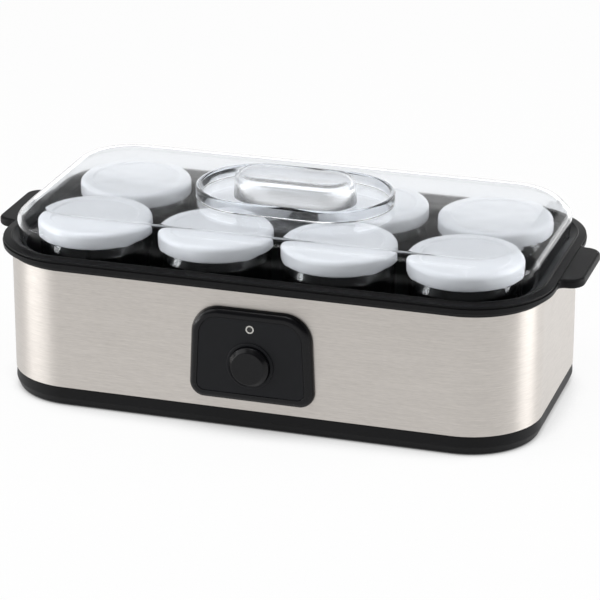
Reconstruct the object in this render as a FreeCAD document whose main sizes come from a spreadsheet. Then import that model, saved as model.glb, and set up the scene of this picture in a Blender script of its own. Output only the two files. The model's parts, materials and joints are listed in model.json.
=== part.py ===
import FreeCAD, Part
import math
import os
import Sketcher
from FreeCAD import Vector

# Yogurt maker: eight lidded jars in a heated tub under a clear cover.
# Frame: origin on the floor under the middle, +Z up, front towards -Y. Millimetres.

doc = FreeCAD.newDocument("YogurtMaker")

# Driving dimensions
DIMENSIONS = {
    # Steel band, whose outline all other housing outlines are inset from
    "steel_length": 320,
    "steel_width": 164,
    "corner_radius": 43,
    "band_bottom": 12.2,
    "band_top": 85,
    "band_gauge": 0.8,
    "hem_inset": 3.2,
    "slip_gap": 0.3,
    "press_gap": 0.1,
    "thread_gap": 0.05,
    "wall_overlap": 4,
    # Base tray
    "foot_height": 1,
    "base_sole_inset": 2,
    "base_bulge_inset": 0.1,
    "base_bulge_level": 5.6,
    "base_bulge_round": 3,
    "base_top_inset": 0.5,
    "base_floor": 2.6,
    "lip_inset": 3.5,
    "lip_height": 6.5,
    "lip_wall": 2,
    "vent_length": 46,
    "vent_width": 3,
    "vent_pitch": 8,
    "vent_count": 12,
    "foot_radius": 7.5,
    "foot_sole_radius": 6.1,
    "foot_bevel": 0.8,
    "foot_recess": 1.2,
    "foot_place_x": 128,
    "foot_place_y": 50,
    "post_place_x": 98,
    "post_place_y": 60,
    "post_radius": 4.6,
    "well_rise": 3,
    "screw_radius": 1.5,
    "screw_head_radius": 3,
    "screw_head_height": 1.8,
    "screw_length": 15,
    # Rim and tub
    "rim_flare": 5.6,
    "rim_foot_flare": 1,
    "rim_drip": 1.9,
    "rim_edge_low": 88.3,
    "rim_edge_high": 91,
    "rim_edge_lean": 0.3,
    "groove_depth": 0.9,
    "groove_level": 92,
    "groove_lean": 0.3,
    "plate_level": 92.8,
    "plate_lean": 0.4,
    "ridge_foot": 93.4,
    "ridge_level": 93.9,
    "ridge_width": 0.6,
    "ridge_lean": 0.4,
    "lead_in": 1.6,
    "seat_level": 90,
    "seat_outer_inset": 4.4,
    "spigot_inset": 1.1,
    "spigot_wall": 1.7,
    "spigot_depth": 5,
    "web_drop": 1.2,
    "tub_mouth_inset": 8.4,
    "tub_foot_inset": 14,
    "tub_floor_level": 26.5,
    "tub_floor": 2.5,
    "tub_floor_round": 4,
    "tub_wall": 2,
    "tab_reach": 178.5,
    "tab_width": 57,
    "tab_corner": 9,
    "tab_root": 3.5,
    "tab_thickness": 5.4,
    "tab_level": 92.4,
    "tab_round": 1.8,
    # Clear cover
    "cover_wall": 2.5,
    "skirt_bottom": 90.1,
    "skirt_inset": 4.9,
    "shoulder_inset": 3.1,
    "shoulder_level": 105,
    "shoulder_round": 5,
    "panel_inset": 12,
    "panel_level": 114,
    "panel_round": 12,
    "panel_under_inset": 1.3,
    "shoulder_under_drop": 0.8,
    "grip_length": 119,
    "grip_width": 75,
    "grip_wall": 3,
    "grip_level": 121,
    "grip_round": 1.2,
    "bar_length": 74,
    "bar_width": 35,
    "bar_level": 129,
    "bar_draft": 4,
    "bar_round": 3.2,
    "bar_wall": 3.5,
    "bar_space_length": 84,
    "bar_space_width": 44,
    "cut_reach": 200,
    # Jars and lids
    "jar_pitch_x": 74.8,
    "jar_pitch_y": 69.3,
    "jar_radius": 32.4,
    "jar_foot_radius": 31.4,
    "jar_wall": 2.4,
    "jar_stand_gap": 0.1,
    "jar_punt": 1.4,
    "jar_punt_radius": 24.4,
    "jar_punt_bevel": 2,
    "jar_heel_radius": 27.9,
    "jar_heel_level": 4,
    "jar_full_level": 26,
    "jar_shoulder": 3,
    "jar_floor": 2.4,
    "jar_floor_radius": 24,
    "jar_floor_dish": 0.4,
    "jar_floor_level": 8,
    "mouth_round": 0.9,
    "neck_radius": 31.6,
    "neck_height": 8.6,
    "mouth_level": 101.9,
    "lid_radius": 33.6,
    "lid_level": 103.5,
    "lid_height": 9.4,
    "lid_wall": 1.6,
    "lid_top_wall": 1.5,
    "lid_panel_radius": 25,
    "lid_panel_drop": 0.7,
    "lid_panel_bevel": 1.4,
    "lid_round": 3.4,
    # Control panel
    "bezel_bottom_width": 75.6,
    "bezel_top_width": 70.8,
    "bezel_low": 18.7,
    "bezel_high": 75,
    "bezel_low_corner": 9,
    "bezel_high_corner": 17,
    "bezel_depth": 4.7,
    "bezel_round": 4.2,
    "bezel_border": 5.2,
    "bezel_ledge": 2.4,
    "face_gap": 0.2,
    "face_recess": 0.3,
    "face_thickness": 2.4,
    "cutout_inset": 3.2,
    "neck_depth": 3.2,
    "hook_low_level": 33,
    "hook_high_level": 56,
    "hook_height": 8,
    "hook_root": 4,
    "hook_reach": 1,
    "hook_gauge": 1.6,
    "hook_gap": 0.4,
    "button_height": 42,
    "button_radius": 12,
    "button_crown_radius": 9.7,
    "button_reach": 5.2,
    "button_fit": 0.3,
    "button_crown": 2.4,
    "button_round": 0.9,
    "button_hollow_radius": 10.4,
    "button_flange_radius": 13.4,
    "button_flange": 1.2,
    "flange_gap": 0.4,
    "collar_radius": 14,
    "collar_rise": 0.9,
    "collar_round": 0.6,
    "stem_radius": 2.5,
    "stem_end": 79.3,
    "stem_hole_depth": 5.3,
    "switch_front": 80.9,
    "switch_width": 13,
    "switch_depth": 8.5,
    "ear_place": 17.5,
    "ear_half": 3.4,
    "ear_thickness": 1.8,
    "ear_post_radius": 2.6,
    "ear_post_length": 5.4,
    "ear_screw_radius": 1,
    "ear_screw_head": 1.4,
    "ear_screw_short": 0.6,
    "tag_near": 1.6,
    "tag_far": 4.4,
    "tag_length": 5.5,
    "tag_gauge": 0.8,
    "tag_setback": 4,
    "indicator_height": 64.2,
    "indicator_radius": 2.4,
    "lens_radius": 1.65,
    "indicator_rise": 0.2,
    "lamp_radius": 2,
    "lamp_length": 6.5,
    "lamp_flange_radius": 2.8,
    "lamp_flange": 1,
    # Heater and wiring
    "heater_length": 226,
    "heater_width": 98,
    "heater_gauge": 1.2,
    "heater_corner": 12,
    "wire_radius": 1.4,
    "wire_run": 96,
    "wire_inner_row": 15,
    "wire_outer_row": 36,
    "thermostat_radius": 8,
    "thermostat_depth": 7,
    "thermostat_cap": 4.5,
    "thermostat_step": 1.6,
    "fuse_radius": 2.2,
    "fuse_length": 13,
    "fuse_pin_length": 5,
    "fuse_pin_radius": 0.5,
    "fuse_place_x": 45,
    "block_length": 26,
    "block_width": 15,
    "block_depth": 11,
    "block_place_x": 80,
    "block_place_y": 30,
    "block_pitch": 8.125,
    "block_entry_level": 4,
    "block_entry_radius": 1.7,
    "block_well_radius": 1.9,
    "block_well_depth": 4,
    "gland_place_x": 108,
    "gland_level": 27,
    "gland_radius": 5,
    "gland_flange_radius": 7.5,
    "gland_flange": 2.4,
    "gland_bevel": 0.8,
    "gland_nose": 9.6,
    "gland_nose_wall": 1.2,
    "gland_nose_taper": 0.8,
    "gland_barb": 1.2,
    "gland_barb_depth": 2.5,
    "gland_inside": 5,
    "cord_radius": 3.4,
    "lead_radius": 1.1,
}

dims = doc.addObject("Spreadsheet::Sheet", "Dims")
for row, (alias, number) in enumerate(DIMENSIONS.items(), start=1):
    dims.set(f"A{row}", alias)
    dims.set(f"B{row}", str(number))
    dims.setAlias(f"B{row}", alias)
doc.recompute()

parts = []


def value(expression):
    """Number that an expression over the sheet has now."""
    return float(dims.evalExpression(expression))


def new_body(label, listed=True):
    """Empty body, listed for export under its label unless it is only cut up later."""
    body = doc.addObject("PartDesign::Body", label)
    body.Label = label
    if listed:
        parts.append(body)
    return body


def block(name, low, high):
    """Plain block between two corners, for cutting."""
    item = doc.addObject("Part::Box", name)
    for axis, size, start, end in zip("xyz", ("Length", "Width", "Height"), low, high):
        item.setExpression(f".Placement.Base.{axis}", start)
        item.setExpression(size, f"({end}) - ({start})")
    return item


def cut_piece(label, kind, base, tool, listed=True):
    """Share of one shape inside or outside another, listed for export under its label."""
    piece = doc.addObject(f"Part::{kind}", label)
    piece.Label = label
    piece.Base = base
    piece.Tool = tool
    doc.recompute()
    if listed:
        parts.append(piece)
    return piece


def new_sketch(body, name, role="XY_Plane", offset=None):
    """Sketch on one of the body's own origin planes, moved along its normal."""
    plane = next(item for item in body.Origin.OriginFeatures if item.Role == role)
    sketch = body.newObject("Sketcher::SketchObject", name)
    sketch.AttachmentSupport = (plane, "")
    sketch.MapMode = "FlatFace"
    if offset is not None:
        sketch.setExpression(".AttachmentOffset.Base.z", offset)
    return sketch


def constrain(sketch, expression, kind, *where):
    """Add a driving constraint and bind it to the sheet."""
    index = sketch.addConstraint(Sketcher.Constraint(kind, *where, value(expression)))
    sketch.setExpression(f"Constraints[{index}]", expression)


def pin(sketch, geometry, point, x, y):
    """Hold a point of the sketch at x, y, each an expression or 0."""
    for kind, axis, place in (("DistanceX", -2, x), ("DistanceY", -1, y)):
        if place == 0:
            sketch.addConstraint(Sketcher.Constraint("PointOnObject", geometry, point, axis))
        else:
            constrain(sketch, place, kind, -1, 1, geometry, point)


def rounded_rectangle(sketch, length, width, radius):
    """Rounded rectangle about the sketch origin."""
    half_x = value(length) / 2
    half_y = value(width) / 2
    r = value(radius)
    x = half_x - r
    y = half_y - r
    up = Vector(0, 0, 1)
    first = sketch.GeometryCount

    def corner(cx, cy, start):
        circle = Part.Circle(Vector(cx, cy, 0), up, r)
        return Part.ArcOfCircle(circle, math.radians(start), math.radians(start + 90))

    sketch.addGeometry([
        Part.LineSegment(Vector(-x, -half_y, 0), Vector(x, -half_y, 0)),
        corner(x, -y, -90),
        Part.LineSegment(Vector(half_x, -y, 0), Vector(half_x, y, 0)),
        corner(x, y, 0),
        Part.LineSegment(Vector(x, half_y, 0), Vector(-x, half_y, 0)),
        corner(-x, y, 90),
        Part.LineSegment(Vector(-half_x, y, 0), Vector(-half_x, -y, 0)),
        corner(-x, -y, 180),
    ], False)
    for step in range(8):
        after = first + (step + 1) % 8
        sketch.addConstraint(Sketcher.Constraint("Tangent", first + step, 2, after, 1))
    for step, kind in ((0, "Horizontal"), (2, "Vertical"), (4, "Horizontal"), (6, "Vertical")):
        sketch.addConstraint(Sketcher.Constraint(kind, first + step))
    for step in (3, 5, 7):
        sketch.addConstraint(Sketcher.Constraint("Equal", first + 1, first + step))
    sketch.addConstraint(Sketcher.Constraint("Symmetric", first, 1, first + 4, 1, -1, 1))
    constrain(sketch, length, "DistanceX", first + 6, 1, first + 2, 1)
    constrain(sketch, width, "DistanceY", first, 1, first + 4, 1)
    constrain(sketch, radius, "Radius", first + 1)


def inset_outline(sketch, inset):
    """Outline of the steel band, moved inwards all round."""
    rounded_rectangle(
        sketch,
        f"Dims.steel_length - 2 * ({inset})",
        f"Dims.steel_width - 2 * ({inset})",
        f"Dims.corner_radius - ({inset})",
    )


def bezel_outline(sketch, inset):
    """Panel outline seen from the front: wider at the foot, softer corners at the top."""
    low = f"Dims.bezel_low + ({inset})"
    high = f"Dims.bezel_high - ({inset})"
    foot = f"Dims.bezel_bottom_width / 2 - ({inset})"
    head = f"Dims.bezel_top_width / 2 - ({inset})"
    low_radius = f"Dims.bezel_low_corner - ({inset}) * 0.8"
    high_radius = f"Dims.bezel_high_corner - ({inset})"
    z0 = value(low)
    z1 = value(high)
    x0 = value(foot)
    x1 = value(head)
    r0 = value(low_radius)
    r1 = value(high_radius)
    lean = math.atan2(x0 - x1, z1 - z0)
    up = Vector(0, 0, 1)
    low_reach = r0 / math.tan((math.pi / 2 - lean) / 2)
    high_reach = r1 * math.tan((math.pi / 2 - lean) / 2)
    low_centre = Vector(x0 - low_reach, z0 + r0, 0)
    high_centre = Vector(x1 - high_reach, z1 - r1, 0)
    quarter = math.pi / 2
    side_low = low_centre + Vector(math.cos(lean), math.sin(lean), 0) * r0
    side_high = high_centre + Vector(math.cos(lean), math.sin(lean), 0) * r1

    def mirrored(point):
        return Vector(-point.x, point.y, 0)

    first = sketch.GeometryCount
    sketch.addGeometry([
        Part.LineSegment(Vector(-low_centre.x, z0, 0), Vector(low_centre.x, z0, 0)),
        Part.ArcOfCircle(Part.Circle(low_centre, up, r0), -quarter, lean),
        Part.LineSegment(side_low, side_high),
        Part.ArcOfCircle(Part.Circle(high_centre, up, r1), lean, quarter),
        Part.LineSegment(Vector(high_centre.x, z1, 0), Vector(-high_centre.x, z1, 0)),
        Part.ArcOfCircle(Part.Circle(mirrored(high_centre), up, r1), quarter, math.pi - lean),
        Part.LineSegment(mirrored(side_high), mirrored(side_low)),
        Part.ArcOfCircle(Part.Circle(mirrored(low_centre), up, r0), math.pi - lean, 3 * quarter),
    ], False)
    for step in range(8):
        after = first + (step + 1) % 8
        sketch.addConstraint(Sketcher.Constraint("Tangent", first + step, 2, after, 1))
    sketch.addConstraint(Sketcher.Constraint("Symmetric", first, 1, first, 2, -2))
    sketch.addConstraint(Sketcher.Constraint("Symmetric", first + 4, 1, first + 4, 2, -2))
    sketch.addConstraint(Sketcher.Constraint("Symmetric", first + 2, 1, first + 6, 2, -2))
    constrain(sketch, low_radius, "Radius", first + 1)
    constrain(sketch, high_radius, "Radius", first + 3)
    constrain(sketch, low, "DistanceY", -1, 1, first, 1)
    constrain(sketch, high, "DistanceY", -1, 1, first + 4, 1)


def stadium(sketch, length, width):
    """Slot shape about the sketch origin, with full round ends."""
    r = value(width) / 2
    x = value(length) / 2 - r
    up = Vector(0, 0, 1)
    first = sketch.GeometryCount
    right = Part.Circle(Vector(x, 0, 0), up, r)
    left = Part.Circle(Vector(-x, 0, 0), up, r)
    sketch.addGeometry([
        Part.LineSegment(Vector(-x, -r, 0), Vector(x, -r, 0)),
        Part.ArcOfCircle(right, -math.pi / 2, math.pi / 2),
        Part.LineSegment(Vector(x, r, 0), Vector(-x, r, 0)),
        Part.ArcOfCircle(left, math.pi / 2, 3 * math.pi / 2),
    ], False)
    for step in range(4):
        after = first + (step + 1) % 4
        sketch.addConstraint(Sketcher.Constraint("Tangent", first + step, 2, after, 1))
    sketch.addConstraint(Sketcher.Constraint("Horizontal", first))
    sketch.addConstraint(Sketcher.Constraint("Horizontal", first + 2))
    sketch.addConstraint(Sketcher.Constraint("Symmetric", first, 1, first + 2, 1, -1, 1))
    constrain(sketch, f"({length}) - ({width})", "DistanceX", first, 1, first, 2)
    constrain(sketch, f"({width}) / 2", "Radius", first + 1)


def serpentine(sketch, run, inner, outer):
    """Four straight runs joined by three half turns."""
    x = value(run)
    y_in = value(inner)
    y_out = value(outer)
    up = Vector(0, 0, 1)
    quarter = math.pi / 2
    turn = (y_out - y_in) / 2
    bend = (y_out + y_in) / 2
    sketch.addGeometry([
        Part.LineSegment(Vector(-x, -y_out, 0), Vector(x, -y_out, 0)),
        Part.ArcOfCircle(Part.Circle(Vector(x, -bend, 0), up, turn), -quarter, quarter),
        Part.LineSegment(Vector(x, -y_in, 0), Vector(-x, -y_in, 0)),
        Part.ArcOfCircle(Part.Circle(Vector(-x, 0, 0), -up, y_in), -quarter, quarter),
        Part.LineSegment(Vector(-x, y_in, 0), Vector(x, y_in, 0)),
        Part.ArcOfCircle(Part.Circle(Vector(x, bend, 0), up, turn), -quarter, quarter),
        Part.LineSegment(Vector(x, y_out, 0), Vector(-x, y_out, 0)),
    ], False)
    for line, x0, y0, x1 in ((0, "-", "-", ""), (2, "", "-", "-"), (4, "-", "", ""), (6, "", "", "-")):
        row = outer if line in (0, 6) else inner
        pin(sketch, line, 1, f"{x0}{run}", f"{y0}{row}")
        pin(sketch, line, 2, f"{x1}{run}", f"{y0}{row}")
    for arc, start, end in ((1, 1, 2), (3, 2, 1), (5, 1, 2)):
        sketch.addConstraint(Sketcher.Constraint("Coincident", arc - 1, 2, arc, start))
        sketch.addConstraint(Sketcher.Constraint("Tangent", arc, end, arc + 1, 1))


def circle(sketch, x, y, radius):
    """Circle with its centre held at x, y."""
    centre = Vector(value(x) if x else 0, value(y) if y else 0, 0)
    index = sketch.addGeometry(Part.Circle(centre, Vector(0, 0, 1), value(radius)), False)
    pin(sketch, index, 3, x, y)
    constrain(sketch, radius, "Radius", index)


def polygon(sketch, points):
    """Closed outline of straight edges through points, each coordinate an expression or 0."""
    corners = [Vector(value(x) if x else 0, value(y) if y else 0, 0) for x, y in points]
    first = sketch.GeometryCount
    count = len(points)
    lines = [Part.LineSegment(corners[i], corners[(i + 1) % count]) for i in range(count)]
    sketch.addGeometry(lines, False)
    for i, (x, y) in enumerate(points):
        before = first + (i - 1) % count
        sketch.addConstraint(Sketcher.Constraint("Coincident", before, 2, first + i, 1))
        pin(sketch, first + i, 1, x, y)


def rectangle(sketch, x0, y0, x1, y1):
    """Rectangle between two opposite corners."""
    polygon(sketch, [(x0, y0), (x1, y0), (x1, y1), (x0, y1)])


def pad(body, sketch, length, name, backwards=False, draft=None):
    """Raise a sketch into a solid."""
    feature = body.newObject("PartDesign::Pad", name)
    feature.Profile = sketch
    feature.setExpression("Length", length)
    feature.Reversed = backwards
    if draft is not None:
        feature.setExpression("TaperAngle", draft)
    doc.recompute()
    return feature


def pocket(body, sketch, name, depth=None, backwards=False):
    """Cut a sketch out of the body, right through where no depth is given."""
    before = body.Shape.Volume
    feature = body.newObject("PartDesign::Pocket", name)
    feature.Profile = sketch
    feature.Reversed = backwards
    if depth is None:
        feature.Type = "ThroughAll"
    else:
        feature.setExpression("Length", depth)
    doc.recompute()
    if body.Shape.Volume > before - 1e-6:
        raise RuntimeError(f"{name} cuts nothing")
    return feature


def revolve(body, sketch, name, axis="V_Axis"):
    """Turn a half section about a sketch axis."""
    feature = body.newObject("PartDesign::Revolution", name)
    feature.Profile = sketch
    feature.ReferenceAxis = (sketch, [axis])
    feature.Angle = 360
    doc.recompute()
    return feature


def pipe(body, profile, spine, name):
    """Sweep a section along a path sketch."""
    feature = body.newObject("PartDesign::AdditivePipe", name)
    feature.Profile = profile
    feature.Spine = spine
    doc.recompute()
    return feature


def swept_wall(body, name, points):
    """Carry a wall section round the housing: points are inset from the band's outline, then height."""
    path = new_sketch(body, f"{name}Path")
    inset_outline(path, "0")
    section = new_sketch(body, f"{name}Section", "XZ_Plane")
    polygon(section, [(f"Dims.steel_length / 2 - ({inset})", level) for inset, level in points])
    return pipe(body, section, path, f"{name}Wall")


def round_edges(body, radius, name, chosen):
    """Round those edges of the body that the test picks."""
    base = body.Tip
    names = [f"Edge{i}" for i, edge in enumerate(base.Shape.Edges, start=1) if chosen(edge)]
    if not names:
        raise RuntimeError(f"{name} finds no edge")
    feature = body.newObject("PartDesign::Fillet", name)
    feature.Base = (base, names)
    feature.setExpression("Radius", radius)
    doc.recompute()
    return feature


def level_edge(level, tolerance=1e-3):
    """Test for edges that lie flat at a height."""
    height = value(level)

    def test(edge):
        box = edge.BoundBox
        return abs(box.ZMin - height) < tolerance and abs(box.ZMax - height) < tolerance

    return test


def outline_edge(level, inset):
    """Test for edges of the inset outline at a height."""
    flat = level_edge(level)
    half_x = value(f"Dims.steel_length / 2 - ({inset})")
    half_y = value(f"Dims.steel_width / 2 - ({inset})")
    radius = value(f"Dims.corner_radius - ({inset})")

    def test(edge):
        if not flat(edge):
            return False
        middle = edge.valueAt((edge.FirstParameter + edge.LastParameter) / 2)
        dx = max(abs(middle.x) - half_x + radius, 0)
        dy = max(abs(middle.y) - half_y + radius, 0)
        return abs(math.hypot(dx, dy) - radius) < OUTLINE_TOLERANCE

    return test


def upright_edge(x, y):
    """Test for upright edges at four mirrored places."""
    place_x = value(x)
    place_y = value(y)

    def test(edge):
        box = edge.BoundBox
        upright = box.XLength + box.YLength < TOLERANCE < box.ZLength
        there = abs(abs(box.XMin) - place_x) < TOLERANCE and abs(abs(box.YMin) - place_y) < TOLERANCE
        return upright and there

    return test


def tab_rim_edge(edge):
    """Test for the edges round the top and bottom of a tab handle, away from its root."""
    box = edge.BoundBox
    outside = min(abs(box.XMin), abs(box.XMax)) > value(TAB_ROOT_X) - TOLERANCE
    return box.ZLength < TOLERANCE and outside


def front_edge(reach):
    """Test for edges that lie in an upright plane, so far in front of the middle."""
    place = -value(reach)

    def test(edge):
        box = edge.BoundBox
        return abs(box.YMin - place) < 1e-3 and abs(box.YMax - place) < 1e-3

    return test


def ring_edge(radius, level):
    """Test for a round edge about the middle at a height."""
    flat = level_edge(level)
    wide = 2 * value(radius)

    def test(edge):
        return flat(edge) and abs(edge.BoundBox.XLength - wide) < 0.01

    return test


# Places that repeat
CORNERS = [(-1, -1), (1, -1), (1, 1), (-1, 1)]
JAR_COLUMNS = 4
JAR_ROWS = 2
FRONT = "Dims.steel_width / 2"
FACE_FRONT = f"{FRONT} + Dims.bezel_depth - Dims.face_recess"
FACE_BACK = f"{FACE_FRONT} - Dims.face_thickness"
TAB_ROOT_X = "(Dims.steel_length / 2 + Dims.rim_flare)"
TOLERANCE = 1e-3
OUTLINE_TOLERANCE = 0.05


# Routes of the inner leads, chosen by hand to keep clear of posts, plate and tub
BEND_SHARE = 0.45
SUPPLY_ROUTE = [
    (108, 78.5, 28), (108, 74.6, 22.6), (108, 66, 12.5),
    (105, 54, 7.8), (96, 44, 7), (88, 37.5, 7.6),
]
SWITCH_ROUTE = [(72, 22, 7.6), (52, 0, 8.4), (33, -26, 10), (16, -52, 11), (6, -70, 18), (3, -74.9, 31)]
LAMP_ROUTE = [(-3, -74.9, 30.5), (-8.4, -74.8, 35), (-9.8, -74.6, 43), (-7, -74.8, 54), (0, -76.2, 64.2)]


def make_base_tray():
    """Moulded tray under the band, with vents, foot recesses and screw wells."""
    body = new_body("base_tray")
    floor_top = "Dims.foot_height + Dims.base_floor"
    lip_back = "Dims.lip_inset + Dims.lip_wall"
    lip_top = "Dims.band_bottom + Dims.lip_height"
    swept_wall(body, "Base", [
        ("Dims.base_sole_inset", "Dims.foot_height"),
        ("Dims.base_bulge_inset", "Dims.base_bulge_level"),
        ("Dims.base_top_inset", "Dims.band_bottom"),
        ("Dims.lip_inset", "Dims.band_bottom"),
        ("Dims.lip_inset", lip_top),
        (lip_back, lip_top),
        (lip_back, floor_top),
        (f"{lip_back} + Dims.wall_overlap", floor_top),
        (f"{lip_back} + Dims.wall_overlap", "Dims.foot_height"),
    ])
    round_edges(body, "Dims.base_bulge_round", "BulgeRound",
                outline_edge("Dims.base_bulge_level", "Dims.base_bulge_inset"))
    floor = new_sketch(body, "BaseFloorOutline", offset="Dims.foot_height")
    inset_outline(floor, f"{lip_back} + Dims.wall_overlap / 2")
    pad(body, floor, "Dims.base_floor", "BaseFloor")

    def four_circles(name, place, radius):
        sketch = new_sketch(body, name, offset="Dims.foot_height")
        for sx, sy in CORNERS:
            circle(sketch, f"{sx} * Dims.{place}_place_x", f"{sy} * Dims.{place}_place_y", radius)
        return sketch

    posts = four_circles("WellPosts", "post", "Dims.post_radius")
    pad(body, posts, "Dims.base_floor + Dims.well_rise", "Wells")
    heads = four_circles("HeadBores", "post", "Dims.screw_head_radius + Dims.slip_gap")
    pocket(body, heads, "HeadWells", depth="Dims.well_rise", backwards=True)
    shanks = four_circles("ShankBores", "post", "Dims.screw_radius + Dims.slip_gap")
    pocket(body, shanks, "ShankHoles", backwards=True)
    seats = four_circles("FootRecesses", "foot", "Dims.foot_radius + Dims.press_gap")
    pocket(body, seats, "FootSeats", depth="Dims.foot_recess", backwards=True)
    slot = new_sketch(body, "VentSlot", offset="Dims.foot_height")
    first = "-(Dims.vent_count - 1) / 2 * Dims.vent_pitch - Dims.vent_width / 2"
    rectangle(slot, first, "-Dims.vent_length / 2", f"{first} + Dims.vent_width", "Dims.vent_length / 2")
    vent = pocket(body, slot, "Vent", depth="2 * Dims.base_floor", backwards=True)
    vents = body.newObject("PartDesign::LinearPattern", "Vents")
    vents.Originals = [vent]
    vents.Direction = (slot, ["H_Axis"])
    vents.setExpression("Length", "(Dims.vent_count - 1) * Dims.vent_pitch")
    vents.setExpression("Occurrences", "Dims.vent_count")
    body.Tip = vents
    doc.recompute()


def make_steel_band():
    """Brushed band round the housing, hemmed inwards at its lower edge."""
    body = new_body("steel_band")
    ring = new_sketch(body, "BandRing", offset="Dims.band_bottom")
    inset_outline(ring, "0")
    inset_outline(ring, "Dims.band_gauge")
    pad(body, ring, "Dims.band_top - Dims.band_bottom", "Band")
    hem = new_sketch(body, "HemRing", offset="Dims.band_bottom")
    inset_outline(hem, "Dims.band_gauge / 2")
    inset_outline(hem, "Dims.hem_inset")
    pad(body, hem, "Dims.band_gauge", "Hem")
    opening = new_sketch(body, "PanelOpening", "XZ_Plane")
    bezel_outline(opening, "Dims.cutout_inset - Dims.slip_gap")
    pocket(body, opening, "PanelCutout", backwards=True)
    inlet = new_sketch(body, "InletOpening", "XZ_Plane")
    circle(inlet, "Dims.gland_place_x", "Dims.gland_level", "Dims.gland_radius + Dims.press_gap")
    pocket(body, inlet, "InletHole")


def make_tub():
    """Tub that holds the jars, in one moulding with the rim and its two tab handles."""
    body = new_body("tub")
    tab_bottom = "Dims.tab_level - Dims.tab_thickness"
    tabs = new_sketch(body, "TabOutlines", offset=tab_bottom)
    side = "Dims.tab_width / 2"
    flared = f"({side} + Dims.tab_root + Dims.press_gap)"
    inner = "(Dims.steel_length / 2 + Dims.rim_foot_flare)"
    for sign in ("-", ""):
        polygon(tabs, [
            (f"{sign}{inner}", f"-{flared}"),
            (f"{sign}{TAB_ROOT_X}", f"-{flared}"),
            (f"{sign}{TAB_ROOT_X}", f"-{side}"),
            (f"{sign}Dims.tab_reach", f"-{side}"),
            (f"{sign}Dims.tab_reach", side),
            (f"{sign}{TAB_ROOT_X}", side),
            (f"{sign}{TAB_ROOT_X}", flared),
            (f"{sign}{inner}", flared),
        ])
    pad(body, tabs, "Dims.tab_thickness", "Tabs")
    round_edges(body, "Dims.tab_corner", "TabCorners", upright_edge("Dims.tab_reach", side))
    round_edges(body, "Dims.tab_root", "TabRoots", upright_edge(TAB_ROOT_X, side))
    round_edges(body, "Dims.tab_round", "TabRound", tab_rim_edge)
    floor_under = "Dims.tub_floor_level - Dims.tub_floor"
    spigot_bottom = "Dims.band_top - Dims.spigot_depth"
    spigot_back = "Dims.spigot_inset + Dims.spigot_wall"
    swept_wall(body, "Rim", [
        ("-Dims.rim_foot_flare", "Dims.band_top"),
        ("-Dims.rim_drip", "Dims.band_top + Dims.rim_drip"),
        ("-Dims.rim_flare + Dims.rim_edge_lean", "Dims.rim_edge_low"),
        ("-Dims.rim_flare", "Dims.rim_edge_high"),
        ("-Dims.rim_flare + Dims.groove_depth", "Dims.rim_edge_high + Dims.groove_lean"),
        ("-Dims.rim_flare + Dims.groove_depth", "Dims.groove_level"),
        ("-Dims.rim_flare + Dims.groove_lean", "Dims.groove_level + Dims.groove_lean"),
        ("-Dims.rim_flare + Dims.plate_lean", "Dims.plate_level"),
        ("-Dims.ridge_width / 2 - Dims.ridge_lean", "Dims.ridge_foot"),
        ("-Dims.ridge_width / 2", "Dims.ridge_level"),
        ("Dims.ridge_width / 2", "Dims.ridge_level"),
        ("Dims.ridge_width / 2 + Dims.ridge_lean", "Dims.ridge_foot"),
        ("Dims.seat_outer_inset", "Dims.seat_level + Dims.lead_in"),
        ("Dims.seat_outer_inset", "Dims.seat_level"),
        ("Dims.tub_mouth_inset", "Dims.seat_level"),
        ("Dims.tub_foot_inset", "Dims.tub_floor_level"),
        ("Dims.tub_foot_inset + Dims.wall_overlap", "Dims.tub_floor_level"),
        ("Dims.tub_foot_inset + Dims.wall_overlap", floor_under),
        ("Dims.tub_foot_inset - Dims.tub_wall", floor_under),
        ("Dims.tub_mouth_inset - Dims.tub_wall", "Dims.seat_level - 2 * Dims.web_drop"),
        (spigot_back, "Dims.seat_level - Dims.web_drop"),
        (spigot_back, spigot_bottom),
        ("Dims.spigot_inset", spigot_bottom),
        ("Dims.spigot_inset", "Dims.band_top"),
    ])
    round_edges(body, "Dims.tub_floor_round", "TubFloorRound",
                outline_edge("Dims.tub_floor_level", "Dims.tub_foot_inset"))
    floor = new_sketch(body, "TubFloorOutline", offset=floor_under)
    inset_outline(floor, "Dims.tub_foot_inset + Dims.wall_overlap - 1")
    pad(body, floor, "Dims.tub_floor", "TubFloor")
    posts = new_sketch(body, "PostOutlines", offset="Dims.tub_floor_level - Dims.tub_floor / 2")
    bores = new_sketch(body, "PostBores", offset=f"{floor_under} - 1")
    for sx, sy in CORNERS:
        x = f"{sx} * Dims.post_place_x"
        y = f"{sy} * Dims.post_place_y"
        circle(posts, x, y, "Dims.post_radius")
        circle(bores, x, y, "Dims.screw_radius + Dims.thread_gap")
    well_top = "Dims.foot_height + Dims.base_floor + Dims.well_rise"
    post_height = f"Dims.tub_floor_level - Dims.tub_floor / 2 - ({well_top})"
    pad(body, posts, post_height, "Posts", backwards=True)
    pocket(body, bores, "PostHoles")


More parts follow.
